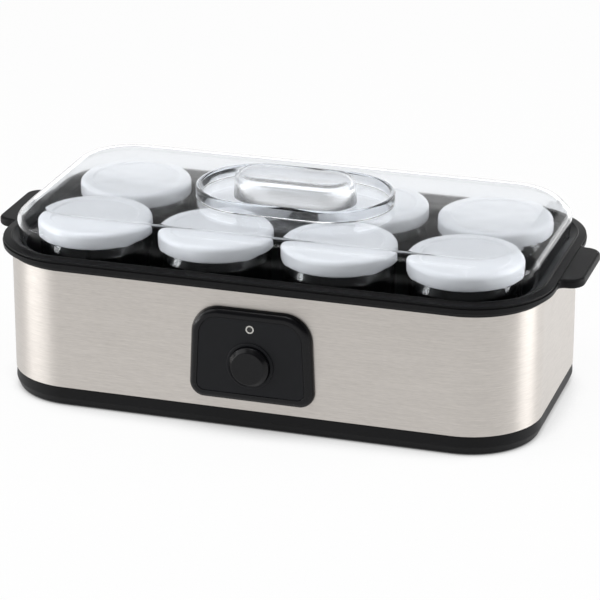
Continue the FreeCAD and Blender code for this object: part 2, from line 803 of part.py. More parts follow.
def make_panel_bezel():
    """Raised frame of the control panel, with a neck and hooks that hold it in the band."""
    body = new_body("panel_bezel")
    outline = new_sketch(body, "BezelOutline", "XZ_Plane", FRONT)
    bezel_outline(outline, "0")
    pad(body, outline, "Dims.bezel_depth", "BezelFrame")
    round_edges(body, "Dims.bezel_round", "BezelRound", front_edge(f"{FRONT} + Dims.bezel_depth"))
    neck = new_sketch(body, "NeckOutline", "XZ_Plane", FRONT)
    bezel_outline(neck, "Dims.cutout_inset")
    pad(body, neck, "Dims.neck_depth", "Neck", backwards=True)
    hooks = new_sketch(body, "HookOutlines", "XZ_Plane", f"{FRONT} - Dims.band_gauge - Dims.hook_gap")
    neck_side = "Dims.bezel_bottom_width / 2 - Dims.cutout_inset"
    for side in (-1, 1):
        root = f"{side} * ({neck_side} - Dims.hook_root)"
        tip = f"{side} * ({neck_side} + Dims.hook_reach)"
        for level in ("Dims.hook_low_level", "Dims.hook_high_level"):
            rectangle(hooks, root, level, tip, f"{level} + Dims.hook_height")
    pad(body, hooks, "Dims.hook_gauge", "Hooks", backwards=True)
    seat = new_sketch(body, "FaceSeat", "XZ_Plane", f"{FRONT} + Dims.bezel_depth")
    bezel_outline(seat, "Dims.bezel_border")
    pocket(body, seat, "FaceRecess", depth="Dims.face_recess + Dims.face_thickness")
    through = new_sketch(body, "BezelWindow", "XZ_Plane", f"{FRONT} + Dims.bezel_depth")
    bezel_outline(through, "Dims.bezel_border + Dims.bezel_ledge")
    pocket(body, through, "BezelOpening")


def make_panel_face():
    """Flat panel with the button's collar, the lamp hole and two posts for the switch."""
    body = new_body("panel_face")
    outline = new_sketch(body, "FaceOutline", "XZ_Plane", FACE_FRONT)
    bezel_outline(outline, "Dims.bezel_border + Dims.face_gap")
    pad(body, outline, "Dims.face_thickness", "FacePlate", backwards=True)
    collar = new_sketch(body, "CollarOutline", "XZ_Plane", FACE_FRONT)
    circle(collar, 0, "Dims.button_height", "Dims.collar_radius")
    pad(body, collar, "Dims.collar_rise", "Collar")
    round_edges(body, "Dims.collar_round", "CollarRound", front_edge(f"{FACE_FRONT} + Dims.collar_rise"))
    posts = new_sketch(body, "SwitchPosts", "XZ_Plane", FACE_BACK)
    for side in (-1, 1):
        circle(posts, f"{side} * Dims.ear_place", "Dims.button_height", "Dims.ear_post_radius")
    pad(body, posts, "Dims.ear_post_length", "Posts", backwards=True)
    bores = new_sketch(body, "FaceBores", "XZ_Plane", f"{FACE_FRONT} + Dims.collar_rise")
    circle(bores, 0, "Dims.button_height", "Dims.button_radius + Dims.button_fit")
    circle(bores, 0, "Dims.indicator_height", "Dims.lens_radius + Dims.thread_gap")
    pocket(body, bores, "Bores")
    threads = new_sketch(body, "PostBores", "XZ_Plane", f"{FACE_BACK} - Dims.flange_gap")
    thread_radius = "Dims.ear_screw_radius + Dims.thread_gap"
    for side in (-1, 1):
        circle(threads, f"{side} * Dims.ear_place", "Dims.button_height", thread_radius)
    pocket(body, threads, "PostHoles")


def make_indicator():
    """Pilot lamp: printed ring, tinted lens and the lamp behind it."""
    ring = new_body("indicator_ring")
    band = new_sketch(ring, "RingOutline", "XZ_Plane", FACE_FRONT)
    circle(band, 0, "Dims.indicator_height", "Dims.indicator_radius")
    circle(band, 0, "Dims.indicator_height", "Dims.lens_radius + Dims.thread_gap")
    pad(ring, band, "Dims.indicator_rise", "Ring")
    lens = new_body("indicator_lens")
    disc = new_sketch(lens, "LensOutline", "XZ_Plane", f"{FACE_FRONT} + Dims.indicator_rise / 2")
    circle(disc, 0, "Dims.indicator_height", "Dims.lens_radius")
    pad(lens, disc, "Dims.face_thickness", "Lens", backwards=True)
    lamp = new_body("indicator_lamp")
    flange = new_sketch(lamp, "LampFlange", "XZ_Plane", FACE_BACK)
    circle(flange, 0, "Dims.indicator_height", "Dims.lamp_flange_radius")
    pad(lamp, flange, "Dims.lamp_flange", "Flange", backwards=True)
    bulb = new_sketch(lamp, "LampBody", "XZ_Plane", FACE_BACK)
    circle(bulb, 0, "Dims.indicator_height", "Dims.lamp_radius")
    pad(lamp, bulb, "Dims.lamp_length", "Bulb", backwards=True)


def make_power_button():
    """Hollow push button with a retaining flange and a stem that works the switch."""
    body = new_body("power_button")
    section = new_sketch(body, "ButtonSection", "YZ_Plane")
    crown = f"-({FACE_FRONT} + Dims.button_reach)"
    flange = f"-({FACE_BACK} - Dims.flange_gap)"
    polygon(section, [
        (crown, 0),
        (crown, "Dims.button_crown_radius"),
        (f"{crown} + Dims.button_radius - Dims.button_crown_radius", "Dims.button_radius"),
        (flange, "Dims.button_radius"),
        (flange, "Dims.button_flange_radius"),
        (f"{flange} + Dims.button_flange", "Dims.button_flange_radius"),
        (f"{flange} + Dims.button_flange", "Dims.button_hollow_radius"),
        (f"{crown} + Dims.button_crown", "Dims.button_hollow_radius"),
        (f"{crown} + Dims.button_crown", "Dims.stem_radius"),
        ("-Dims.stem_end", "Dims.stem_radius"),
        ("-Dims.stem_end", 0),
    ])
    revolve(body, section, "Button", axis="H_Axis")
    round_edges(body, "Dims.button_round", "CrownRound", front_edge(f"{FACE_FRONT} + Dims.button_reach"))
    body.setExpression(".Placement.Base.z", "Dims.button_height")


def make_power_switch():
    """Low push switch behind the button, with ears for its screws and two terminals."""
    body = new_body("power_switch")
    half = "Dims.switch_width / 2"
    case = new_sketch(body, "SwitchCase", "XZ_Plane", "Dims.switch_front")
    rectangle(case, f"-{half}", f"Dims.button_height - {half}", half, f"Dims.button_height + {half}")
    pad(body, case, "Dims.switch_depth", "Case", backwards=True)
    ears = new_sketch(body, "SwitchEars", "XZ_Plane", f"{FACE_BACK} - Dims.ear_post_length")
    ear_x = "(Dims.ear_place + Dims.ear_half)"
    ear_low = "Dims.button_height - Dims.ear_half"
    rectangle(ears, f"-{ear_x}", ear_low, ear_x, f"{ear_low} + 2 * Dims.ear_half")
    pad(body, ears, "Dims.ear_thickness", "Ears", backwards=True)
    tags = new_sketch(body, "SwitchTags", "XZ_Plane", "Dims.switch_front - Dims.tag_setback")
    case_low = f"Dims.button_height - {half}"
    for side in (-1, 1):
        near = f"{side} * Dims.tag_near"
        far = f"{side} * Dims.tag_far"
        rectangle(tags, near, f"{case_low} - Dims.tag_length", far, f"{case_low} + Dims.tag_gauge")
    pad(body, tags, "Dims.tag_gauge", "Tags", backwards=True)
    bores = new_sketch(body, "StemBore", "XZ_Plane", "Dims.switch_front")
    circle(bores, 0, "Dims.button_height", "Dims.stem_radius + Dims.slip_gap")
    pocket(body, bores, "StemHole", depth="Dims.stem_hole_depth")
    holes = new_sketch(body, "EarBores", "XZ_Plane", "Dims.switch_front")
    hole_radius = "Dims.ear_screw_radius + Dims.press_gap"
    for side in (-1, 1):
        circle(holes, f"{side} * Dims.ear_place", "Dims.button_height", hole_radius)
    pocket(body, holes, "EarHoles")


def make_panel_screws():
    """Two screws that hold the switch to the panel's posts."""
    body = new_body("panel_screws")
    seat = f"{FACE_BACK} - Dims.ear_post_length - Dims.ear_thickness"
    heads = new_sketch(body, "ScrewHeads", "XZ_Plane", seat)
    shanks = new_sketch(body, "ScrewShanks", "XZ_Plane", seat)
    for side in (-1, 1):
        circle(heads, f"{side} * Dims.ear_place", "Dims.button_height", "2 * Dims.ear_screw_radius")
        circle(shanks, f"{side} * Dims.ear_place", "Dims.button_height", "Dims.ear_screw_radius")
    pad(body, heads, "Dims.ear_screw_head", "Heads", backwards=True)
    pad(body, shanks, "Dims.ear_thickness + Dims.ear_post_length - Dims.ear_screw_short", "Shanks")


def make_base_screws():
    """Four screws that draw the base tray up to the tub's posts."""
    body = new_body("base_screws")
    heads = new_sketch(body, "ScrewHeads", offset="Dims.foot_height + Dims.well_rise")
    shanks = new_sketch(body, "ScrewShanks", offset="Dims.foot_height + Dims.well_rise")
    for sx, sy in CORNERS:
        x = f"{sx} * Dims.post_place_x"
        y = f"{sy} * Dims.post_place_y"
        circle(heads, x, y, "Dims.screw_head_radius")
        circle(shanks, x, y, "Dims.screw_radius")
    pad(body, heads, "Dims.screw_head_height", "Heads", backwards=True)
    pad(body, shanks, "Dims.screw_length", "Shanks")


def make_foot(number, sx, sy):
    """Rubber foot pressed into a recess of the base tray."""
    body = new_body(f"foot_{number}")
    section = new_sketch(body, "FootSection", "XZ_Plane")
    polygon(section, [
        (0, 0),
        ("Dims.foot_sole_radius", 0),
        ("Dims.foot_sole_radius + Dims.foot_bevel", "Dims.foot_bevel / 2"),
        ("Dims.foot_radius", "Dims.foot_height"),
        ("Dims.foot_radius", "Dims.foot_height + Dims.foot_recess"),
        (0, "Dims.foot_height + Dims.foot_recess"),
    ])
    revolve(body, section, "Foot")
    body.setExpression(".Placement.Base.x", f"{sx} * Dims.foot_place_x")
    body.setExpression(".Placement.Base.y", f"{sy} * Dims.foot_place_y")


def make_heater():
    """Plate bonded under the tub, with the heating wire laid on it in four runs."""
    under_tub = "Dims.tub_floor_level - Dims.tub_floor"
    plate = new_body("heater_plate")
    outline = new_sketch(plate, "PlateOutline", offset=under_tub)
    rounded_rectangle(outline, "Dims.heater_length", "Dims.heater_width", "Dims.heater_corner")
    pad(plate, outline, "Dims.heater_gauge", "Plate", backwards=True)
    wire = new_body("heating_wire")
    centre = f"{under_tub} - Dims.heater_gauge - Dims.wire_radius"
    path = new_sketch(wire, "WirePath", offset=centre)
    serpentine(path, "Dims.wire_run", "Dims.wire_inner_row", "Dims.wire_outer_row")
    section = new_sketch(wire, "WireSection", "YZ_Plane", "-Dims.wire_run")
    circle(section, "-Dims.wire_outer_row", centre, "Dims.wire_radius")
    pipe(wire, section, path, "Wire")


def make_thermostat():
    """Snap-disc thermostat against the middle of the heater plate."""
    body = new_body("thermostat")
    under_plate = "Dims.tub_floor_level - Dims.tub_floor - Dims.heater_gauge"
    cap = new_sketch(body, "CapOutline", offset=under_plate)
    circle(cap, 0, 0, "Dims.thermostat_radius")
    pad(body, cap, "Dims.thermostat_cap", "Cap", backwards=True)
    case = new_sketch(body, "CaseOutline", offset=under_plate)
    circle(case, 0, 0, "Dims.thermostat_radius - Dims.thermostat_step")
    pad(body, case, "Dims.thermostat_depth", "Case", backwards=True)


def make_thermal_fuse():
    """Thermal cut-out lying along the heater plate."""
    body = new_body("thermal_fuse")
    section = new_sketch(body, "FuseSection", "YZ_Plane", "Dims.fuse_place_x")
    level = "Dims.tub_floor_level - Dims.tub_floor - Dims.heater_gauge - Dims.fuse_radius"
    circle(section, 0, level, "Dims.fuse_radius")
    pad(body, section, "Dims.fuse_length", "Case")
    pins = new_sketch(body, "PinSection", "YZ_Plane", "Dims.fuse_place_x - Dims.fuse_pin_length")
    circle(pins, 0, level, "Dims.fuse_pin_radius")
    pad(body, pins, "Dims.fuse_length + 2 * Dims.fuse_pin_length", "Pins")


def make_terminal_block():
    """Three-way terminal block on the floor of the base tray."""
    body = new_body("terminal_block")
    floor_top = "Dims.foot_height + Dims.base_floor"
    left = "Dims.block_place_x - Dims.block_length / 2"
    near = "Dims.block_place_y - Dims.block_width / 2"
    case = new_sketch(body, "BlockOutline", offset=floor_top)
    rectangle(case, left, near, f"{left} + Dims.block_length", f"{near} + Dims.block_width")
    pad(body, case, "Dims.block_depth", "Block")
    entries = new_sketch(body, "WireEntries", "XZ_Plane")
    screws = new_sketch(body, "ScrewWells", offset=f"{floor_top} + Dims.block_depth")
    for way in (-1, 0, 1):
        x = f"Dims.block_place_x + {way} * Dims.block_pitch"
        circle(entries, x, f"{floor_top} + Dims.block_entry_level", "Dims.block_entry_radius")
        circle(screws, x, "Dims.block_place_y", "Dims.block_well_radius")
    pocket(body, entries, "Entries")
    pocket(body, screws, "Wells", depth="Dims.block_well_depth")


def make_cord_gland():
    """Grommet at the back where the mains lead comes in."""
    body = new_body("cord_gland")
    section = new_sketch(body, "GlandSection", "YZ_Plane")
    wall = "Dims.steel_width / 2"
    nose_radius = "Dims.cord_radius + Dims.gland_nose_wall"
    barb = f"{wall} - Dims.band_gauge - Dims.press_gap"
    polygon(section, [
        (f"{wall} + Dims.gland_nose", "Dims.cord_radius"),
        (f"{wall} + Dims.gland_nose", nose_radius),
        (f"{wall} + Dims.gland_flange", f"{nose_radius} + Dims.gland_nose_taper"),
        (f"{wall} + Dims.gland_flange", "Dims.gland_flange_radius - Dims.gland_bevel"),
        (f"{wall} + Dims.gland_flange - Dims.gland_bevel", "Dims.gland_flange_radius"),
        (wall, "Dims.gland_flange_radius"),
        (wall, "Dims.gland_radius"),
        (barb, "Dims.gland_radius"),
        (barb, "Dims.gland_radius + Dims.gland_barb"),
        (f"{barb} - Dims.gland_barb_depth", "Dims.gland_radius"),
        (f"{wall} - Dims.gland_inside", "Dims.gland_radius"),
        (f"{wall} - Dims.gland_inside", "Dims.cord_radius"),
    ])
    revolve(body, section, "Gland", axis="H_Axis")
    body.setExpression(".Placement.Base.x", "Dims.gland_place_x")
    body.setExpression(".Placement.Base.z", "Dims.gland_level")


def rounded_path(route):
    """Wire of straight runs joined by arcs as large as the runs allow."""
    points = [Vector(*point) for point in route]
    edges = []
    start = points[0]
    for before, corner, after in zip(points, points[1:], points[2:]):
        back = before - corner
        ahead = after - corner
        reach = BEND_SHARE * min(back.Length, ahead.Length)
        half_turn = (math.pi - back.getAngle(ahead)) / 2
        radius = reach / math.tan(half_turn)
        back.normalize()
        ahead.normalize()
        inward = back + ahead
        inward.normalize()
        middle = corner + inward * (radius / math.cos(half_turn) - radius)
        edges.append(Part.LineSegment(start, corner + back * reach).toShape())
        edges.append(Part.Arc(corner + back * reach, middle, corner + ahead * reach).toShape())
        start = corner + ahead * reach
    edges.append(Part.LineSegment(start, points[-1]).toShape())
    return Part.Wire(edges)


def make_lead(label, route):
    """Insulated lead along a route chosen by hand, clear of its neighbours."""
    path = rounded_path(route)
    radius = value("Dims.lead_radius")
    ring = Part.makeCircle(radius, Vector(*route[0]), Vector(*route[1]) - Vector(*route[0]))
    tube = Part.BRepOffsetAPI.MakePipeShell(path)
    tube.add(Part.Wire(ring))
    tube.build()
    tube.makeSolid()
    shape = tube.shape()
    expected = math.pi * radius ** 2 * path.Length
    if abs(shape.Volume / expected - 1) > 0.02:
        raise RuntimeError(f"{label} has volume {shape.Volume:.1f}, not {expected:.1f}")
    lead = doc.addObject("Part::Feature", label)
    lead.Label = label
    lead.Shape = shape
    parts.append(lead)


def make_jar(number, x, y):
    """Glass jar with a plain neck, standing on the tub floor."""
    body = new_body(f"jar_{number}")
    stand = "Dims.tub_floor_level + Dims.jar_stand_gap"
    shoulder = "Dims.mouth_level - Dims.neck_height"
    inside_floor = f"{stand} + Dims.jar_punt + Dims.jar_floor"
    inside_neck = "Dims.neck_radius - Dims.jar_wall"
    section = new_sketch(body, "JarSection", "XZ_Plane")
    polygon(section, [
        (0, f"{stand} + Dims.jar_punt"),
        ("Dims.jar_punt_radius", f"{stand} + Dims.jar_punt"),
        ("Dims.jar_punt_radius + Dims.jar_punt_bevel", stand),
        ("Dims.jar_heel_radius", stand),
        ("Dims.jar_foot_radius", f"{stand} + Dims.jar_heel_level"),
        ("Dims.jar_radius", f"{stand} + Dims.jar_full_level"),
        ("Dims.jar_radius", f"{shoulder} - Dims.jar_shoulder"),
        ("Dims.neck_radius", shoulder),
        ("Dims.neck_radius", "Dims.mouth_level"),
        (inside_neck, "Dims.mouth_level"),
        (inside_neck, shoulder),
        ("Dims.jar_radius - Dims.jar_wall", f"{shoulder} - Dims.jar_shoulder - 1"),
        ("Dims.jar_radius - Dims.jar_wall", f"{stand} + Dims.jar_full_level"),
        ("Dims.jar_foot_radius - Dims.jar_wall", f"{stand} + Dims.jar_floor_level"),
        ("Dims.jar_floor_radius", f"{inside_floor} + Dims.jar_floor_dish"),
        (0, inside_floor),
    ])
    revolve(body, section, "Jar")
    round_edges(body, "Dims.mouth_round", "MouthRound", level_edge("Dims.mouth_level"))
    body.setExpression(".Placement.Base.x", x)
    body.setExpression(".Placement.Base.y", y)


def make_jar_lid(number, x, y):
    """Screw lid with a rounded shoulder and a sunk top panel."""
    body = new_body(f"jar_lid_{number}")
    section = new_sketch(body, "LidSection", "XZ_Plane")
    bottom = "Dims.lid_level - Dims.lid_height"
    inner = "Dims.lid_radius - Dims.lid_wall"
    under = "Dims.lid_level - Dims.lid_top_wall"
    polygon(section, [
        (0, "Dims.lid_level - Dims.lid_panel_drop"),
        ("Dims.lid_panel_radius", "Dims.lid_level - Dims.lid_panel_drop"),
        ("Dims.lid_panel_radius + Dims.lid_panel_bevel", "Dims.lid_level"),
        ("Dims.lid_radius", "Dims.lid_level"),
        ("Dims.lid_radius", bottom),
        (inner, bottom),
        (inner, under),
        (0, under),
    ])
    revolve(body, section, "Lid")
    round_edges(body, "Dims.lid_round", "ShoulderRound", ring_edge("Dims.lid_radius", "Dims.lid_level"))
    body.setExpression(".Placement.Base.x", x)
    body.setExpression(".Placement.Base.y", y)


def make_cover():
    """Clear cover: skirt and sloping shoulder round a flat top with a raised grip."""
    body = new_body("cover_whole", listed=False)
    under = "Dims.panel_level - Dims.cover_wall"
    swept_wall(body, "Cover", [
        ("Dims.skirt_inset", "Dims.skirt_bottom"),
        ("Dims.shoulder_inset", "Dims.shoulder_level"),
        ("Dims.panel_inset", "Dims.panel_level"),
        ("Dims.panel_inset + Dims.wall_overlap", "Dims.panel_level"),
        ("Dims.panel_inset + Dims.wall_overlap", under),
        ("Dims.panel_inset + Dims.panel_under_inset", under),
        ("Dims.shoulder_inset + Dims.cover_wall", "Dims.shoulder_level - Dims.shoulder_under_drop"),
        ("Dims.skirt_inset + Dims.cover_wall", "Dims.skirt_bottom"),
    ])
    top = new_sketch(body, "PanelOutline", offset=under)
    inset_outline(top, "Dims.panel_inset + Dims.wall_overlap / 2")
    pad(body, top, "Dims.cover_wall", "Panel")
    round_edges(body, "Dims.shoulder_round", "ShoulderRound",
                outline_edge("Dims.shoulder_level", "Dims.shoulder_inset"))
    round_edges(body, "Dims.panel_round", "PanelRound", outline_edge("Dims.panel_level", "Dims.panel_inset"))
    grip = new_sketch(body, "GripOutline", offset="Dims.panel_level - Dims.cover_wall / 2")
    stadium(grip, "Dims.grip_length", "Dims.grip_width")
    stadium(grip, "Dims.grip_length - 2 * Dims.grip_wall", "Dims.grip_width - 2 * Dims.grip_wall")
    pad(body, grip, "Dims.grip_level - Dims.panel_level + Dims.cover_wall / 2", "GripWall")
    bar = new_sketch(body, "BarOutline", offset="Dims.panel_level - Dims.cover_wall / 2")
    stadium(bar, "Dims.bar_length", "Dims.bar_width")
    bar_height = "Dims.bar_level - Dims.panel_level + Dims.cover_wall / 2"
    pad(body, bar, bar_height, "GripBar", draft="-Dims.bar_draft")
    round_edges(body, "Dims.bar_round", "BarRound", level_edge("Dims.bar_level"))
    round_edges(body, "Dims.grip_round", "GripRound", level_edge("Dims.grip_level"))
    hollow = new_sketch(body, "BarHollow", offset=under)
    stadium(hollow, "Dims.bar_length - 2 * Dims.bar_wall", "Dims.bar_width - 2 * Dims.bar_wall")
    pocket(body, hollow, "BarInside", depth="Dims.bar_level - Dims.panel_level", backwards=True)
    split_cover(body, under)


def split_cover(whole, under):
    """Cut the cover along flat faces into its top, two half skirts and the two pieces of the grip."""
    far = "Dims.cut_reach"
    low = "Dims.skirt_bottom - 1"
    high = "Dims.bar_level + 1"
    bar_x = "Dims.bar_space_length / 2"
    bar_y = "Dims.bar_space_width / 2"
    top = block("TopSpace", (f"-{far}", f"-{far}", under), (far, far, "Dims.panel_level"))
    left = block("LeftSpace", (f"-{far}", f"-{far}", low), ("0", far, under))
    right = block("RightSpace", ("0", f"-{far}", low), (far, far, under))
    above = block("GripSpace", (f"-{far}", f"-{far}", "Dims.panel_level"), (far, far, high))
    middle = block("BarSpace", (f"-{bar_x}", f"-{bar_y}", "Dims.panel_level"), (bar_x, bar_y, high))
    cut_piece("cover", "Common", whole, top)
    cut_piece("cover_skirt_left", "Common", whole, left)
    cut_piece("cover_skirt_right", "Common", whole, right)
    cut_piece("cover_grip_bar", "Common", whole, middle)
    grip = cut_piece("cover_grip", "Common", whole, above, listed=False)
    cut_piece("cover_grip_wall", "Cut", grip, middle)


def export_parts():
    """Check every object and write each sub-part to its own file."""
    doc.recompute()
    for item in doc.Objects:
        if "Invalid" in item.State or "Error" in item.State:
            raise RuntimeError(f"{item.Label} is {item.State}")
    os.makedirs("parts", exist_ok=True)
    for item in parts:
        shape = item.Shape
        if shape.isNull() or not shape.isValid():
            raise RuntimeError(f"{item.Label} has no valid shape")
        if len(shape.Solids) == 1:
            shape = shape.Solids[0]
        shape.exportStep(f"parts/{item.Label}.step")


make_base_tray()
make_steel_band()
make_tub()
make_panel_bezel()
make_panel_face()
make_indicator()
make_power_button()
make_power_switch()
make_panel_screws()
make_base_screws()
for number, (sx, sy) in enumerate(CORNERS, start=1):
    make_foot(number, sx, sy)
make_heater()
make_thermostat()
make_thermal_fuse()
make_terminal_block()
make_cord_gland()
make_lead("lead_supply", SUPPLY_ROUTE)
make_lead("lead_switch", SWITCH_ROUTE)
make_lead("lead_lamp", LAMP_ROUTE)
for column in range(JAR_COLUMNS):
    for row in range(JAR_ROWS):
        number = row * JAR_COLUMNS + column + 1
        x = f"{column - (JAR_COLUMNS - 1) / 2} * Dims.jar_pitch_x"
        y = f"{row - (JAR_ROWS - 1) / 2} * Dims.jar_pitch_y"
        make_jar(number, x, y)
        make_jar_lid(number, x, y)
make_cover()
export_parts()
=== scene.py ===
import json
import logging
import math
from collections import defaultdict
from collections.abc import Sequence
from dataclasses import dataclass, field
from enum import Enum

import bmesh
import bpy
from mathutils import Euler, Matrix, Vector


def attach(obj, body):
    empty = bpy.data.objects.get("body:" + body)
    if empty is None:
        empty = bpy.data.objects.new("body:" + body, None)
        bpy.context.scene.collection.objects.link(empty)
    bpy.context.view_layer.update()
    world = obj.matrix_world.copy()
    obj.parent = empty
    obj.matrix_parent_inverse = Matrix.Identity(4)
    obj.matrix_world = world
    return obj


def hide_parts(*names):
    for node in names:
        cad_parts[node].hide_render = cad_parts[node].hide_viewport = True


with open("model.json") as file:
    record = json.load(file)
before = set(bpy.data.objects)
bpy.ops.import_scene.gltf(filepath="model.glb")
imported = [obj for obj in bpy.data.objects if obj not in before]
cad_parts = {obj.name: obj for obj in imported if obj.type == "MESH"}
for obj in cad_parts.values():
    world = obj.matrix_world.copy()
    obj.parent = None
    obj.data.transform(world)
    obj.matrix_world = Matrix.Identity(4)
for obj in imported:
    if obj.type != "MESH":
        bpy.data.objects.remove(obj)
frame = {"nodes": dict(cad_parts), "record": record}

LOG = logging.getLogger("yogurt_maker")
MM = 0.001
MERGE = 2e-6
Colour = tuple[float, float, float]
Shade = tuple[float, float, float, float]
Point = tuple[float, float, float]
NodeTree = bpy.types.NodeTree
Socket = bpy.types.NodeSocket

WHITE: Shade = (1.0, 1.0, 1.0, 1.0)


class Body(str, Enum):
    """Moving bodies of the frame that are not numbered."""

    HOUSING = "housing"
    BUTTON = "button"
    COVER = "cover"


# Outlines and sections, in millimetres


@dataclass(frozen=True)
class Outline:
    """Rounded rectangle about the middle of the object.

    Attributes:
        half_x: Half of its length.
        half_y: Half of its width.
        corner: Radius of its corners.
    """

    half_x: float
    half_y: float
    corner: float

    def grown(self, by: float) -> "Outline":
        """Return the parallel outline that lies further out by this much."""
        return Outline(self.half_x + by, self.half_y + by, self.corner + by)


@dataclass(frozen=True)
class Corner:
    """Corner of a section.

    Attributes:
        out: Distance out from the outline or the axis.
        level: Height.
        rounding: Radius of the arc that softens it.
    """

    out: float
    level: float
    rounding: float = 0.0


@dataclass(frozen=True)
class Ring:
    """Closed outline at a height, one row of a ring stack."""

    outline: Outline
    level: float


BAND_OUTLINE = Outline(160.0, 82.0, 43.0)
BAR_OUTLINE = Outline(37.0, 17.5, 17.5)
COVER_TOP = 114.0
POLE = Outline(0.0, 0.0, 0.0)

# Largest share of a section's side for an arc, least turn of a corner that is rounded, in radians,
# and distance from an arc to a further point that keeps flat faces flat
ARC_SHARE = 0.48
STRAIGHT = 1e-4
GUARD = 0.35


def softened(corners: Sequence[Corner], steps: int = 5) -> list[tuple[float, float]]:
    """Round the corners of a section by arcs.

    Args:
        corners: Corners in order, the first and last of which stay as they are.
        steps: Parts that each arc is divided into.

    Returns:
        Points of the softened section.
    """
    points = [(corners[0].out, corners[0].level)]
    for before, corner, after in zip(corners, corners[1:], corners[2:]):
        here = Vector((corner.out, corner.level))
        back = Vector((before.out, before.level)) - here
        ahead = Vector((after.out, after.level)) - here
        shorter = min(back.length, ahead.length)
        angle = back.angle(ahead)
        if corner.rounding <= 0 or math.pi - angle < STRAIGHT:
            points.append(tuple(here))
            continue
        reach = min(corner.rounding / math.tan(angle / 2), ARC_SHARE * shorter)
        radius = reach * math.tan(angle / 2)
        back.normalize()
        ahead.normalize()
        centre = here + (back + ahead).normalized() * (radius / math.sin(angle / 2))
        start = here + back * reach - centre
        sweep = math.pi - angle
        sign = 1.0 if start.y * back.x - start.x * back.y > 0 else -1.0
        beside = reach + GUARD
        if beside < shorter / 2:
            points.append(tuple(here + back * beside))
        for step in range(steps + 1):
            turn = sign * sweep * step / steps
            c, s = math.cos(turn), math.sin(turn)
            points.append((centre.x + start.x * c - start.y * s,
                           centre.y + start.x * s + start.y * c))
        if beside < shorter / 2:
            points.append(tuple(here + ahead * beside))
    points.append((corners[-1].out, corners[-1].level))
    return points


def stacked(outline: Outline, corners: Sequence[Corner], steps: int = 5) -> list[Ring]:
    """Turn a softened section into rings round an outline.

    Args:
        outline: Outline that the section's distances count from.
        corners: Corners of the section.
        steps: Parts of each arc.

    Returns:
        One ring for each point of the section.
    """
    return [Ring(outline.grown(out), level) for out, level in softened(corners, steps)]


def turned(corners: Sequence[Corner], steps: int = 5) -> list[Ring]:
    """Turn a softened half section into round rings about the axis."""
    return stacked(POLE, corners, steps)


# Tools for node trees

SOCKET_KINDS = defaultdict(lambda: "Float", Colour="Color")


@dataclass
class Wiring:
    """Short way to add and join nodes of one tree.

    Attributes:
        tree: Tree that the nodes go into.
    """

    tree: NodeTree

    def add(self, kind: str, values: dict | None = None, **settings: object) -> bpy.types.Node:
        """Add a node.

        Args:
            kind: Type name of the node.
            values: Input sockets by name or number, each with a value or a socket to join.
            **settings: Attributes of the node, set before its inputs.

        Returns:
            The new node.
        """
        node = self.tree.nodes.new(kind)
        for name, setting in settings.items():
            setattr(node, name, setting)
        self.set(node, values or {})
        return node

    def set(self, node: bpy.types.Node, values: dict) -> None:
        """Feed several inputs of a node, by name or number."""
        for name, given in values.items():
            self.feed(node.inputs[name], given)

    def feed(self, socket: Socket, given: object) -> None:
        """Join a socket to another, or set its value."""
        if isinstance(given, bpy.types.NodeSocket):
            self.tree.links.new(given, socket)
        else:
            socket.default_value = given

    def math(self, operation: str, *given: object) -> Socket:
        """Add a Math node and return its result."""
        node = self.add("ShaderNodeMath", operation=operation)
        for socket, part in zip(node.inputs, given):
            self.feed(socket, part)
        return node.outputs[0]

    def remap(self, given: Socket, low: float, high: float,
              to_low: object, to_high: object) -> Socket:
        """Map a value from one range to another, clamped, and return the result."""
        return self.add("ShaderNodeMapRange", {
            "Value": given,
            "From Min": low,
            "From Max": high,
            "To Min": to_low,
            "To Max": to_high,
        }).outputs["Result"]

    def mix(self, factor: object, first: object, second: object, blend: str = "MIX") -> Socket:
        """Mix two colours and return the result."""
        node = self.add("ShaderNodeMix", data_type="RGBA", blend_type=blend)
        for index, part in ((0, factor), (6, first), (7, second)):
            self.feed(node.inputs[index], part)
        return node.outputs[2]

    def place(self) -> Socket:
        """Return the piece's own coordinates."""
        return self.add("ShaderNodeTexCoord").outputs["Object"]

    def stretched(self, place: Socket, scale: Point) -> Socket:
        """Return coordinates scaled along each axis."""
        return self.add("ShaderNodeMapping", {"Vector": place, "Scale": scale}).outputs[0]

    def noise(self, place: Socket, scale: object, detail: float, rough: float = 0.5) -> Socket:
        """Add a noise pattern and return its value."""
        values = {"Vector": place, "Scale": scale, "Detail": detail, "Roughness": rough}
        return self.add("ShaderNodeTexNoise", values).outputs[0]

    def bump(self, height: Socket, strength: float, depth: float) -> Socket:
        """Add a bump with a depth in millimetres and return its normal."""
        values = {"Height": height, "Strength": strength, "Distance": depth * MM}
        return self.add("ShaderNodeBump", values).outputs[0]


def new_socket(tree: NodeTree, name: str, kind: str,
               way: str = "INPUT") -> bpy.types.NodeTreeInterfaceSocket:
    """Add a socket to a node group and return it."""
    return tree.interface.new_socket(name, in_out=way, socket_type=f"NodeSocket{kind}")


def shader_group(name: str, inputs: dict[str, object], outputs: Sequence[str]) -> Wiring:
    """Start a shader node group.

    Args:
        name: Name of the group.
        inputs: Default value of each input by name.
        outputs: Names of its outputs.

    Returns:
        The wiring of the group, which has no nodes.
    """
    tree = bpy.data.node_groups.new(name, "ShaderNodeTree")
    for label, default in inputs.items():
        new_socket(tree, label, SOCKET_KINDS[label]).default_value = default
    for label in outputs:
        new_socket(tree, label, SOCKET_KINDS[label], "OUTPUT")
    return Wiring(tree)


def emptied(owner: bpy.types.Material | bpy.types.World) -> Wiring:
    """Empty the node tree of a material or world and return its wiring."""
    owner.use_nodes = True
    owner.node_tree.nodes.clear()
    return Wiring(owner.node_tree)


# Meshes


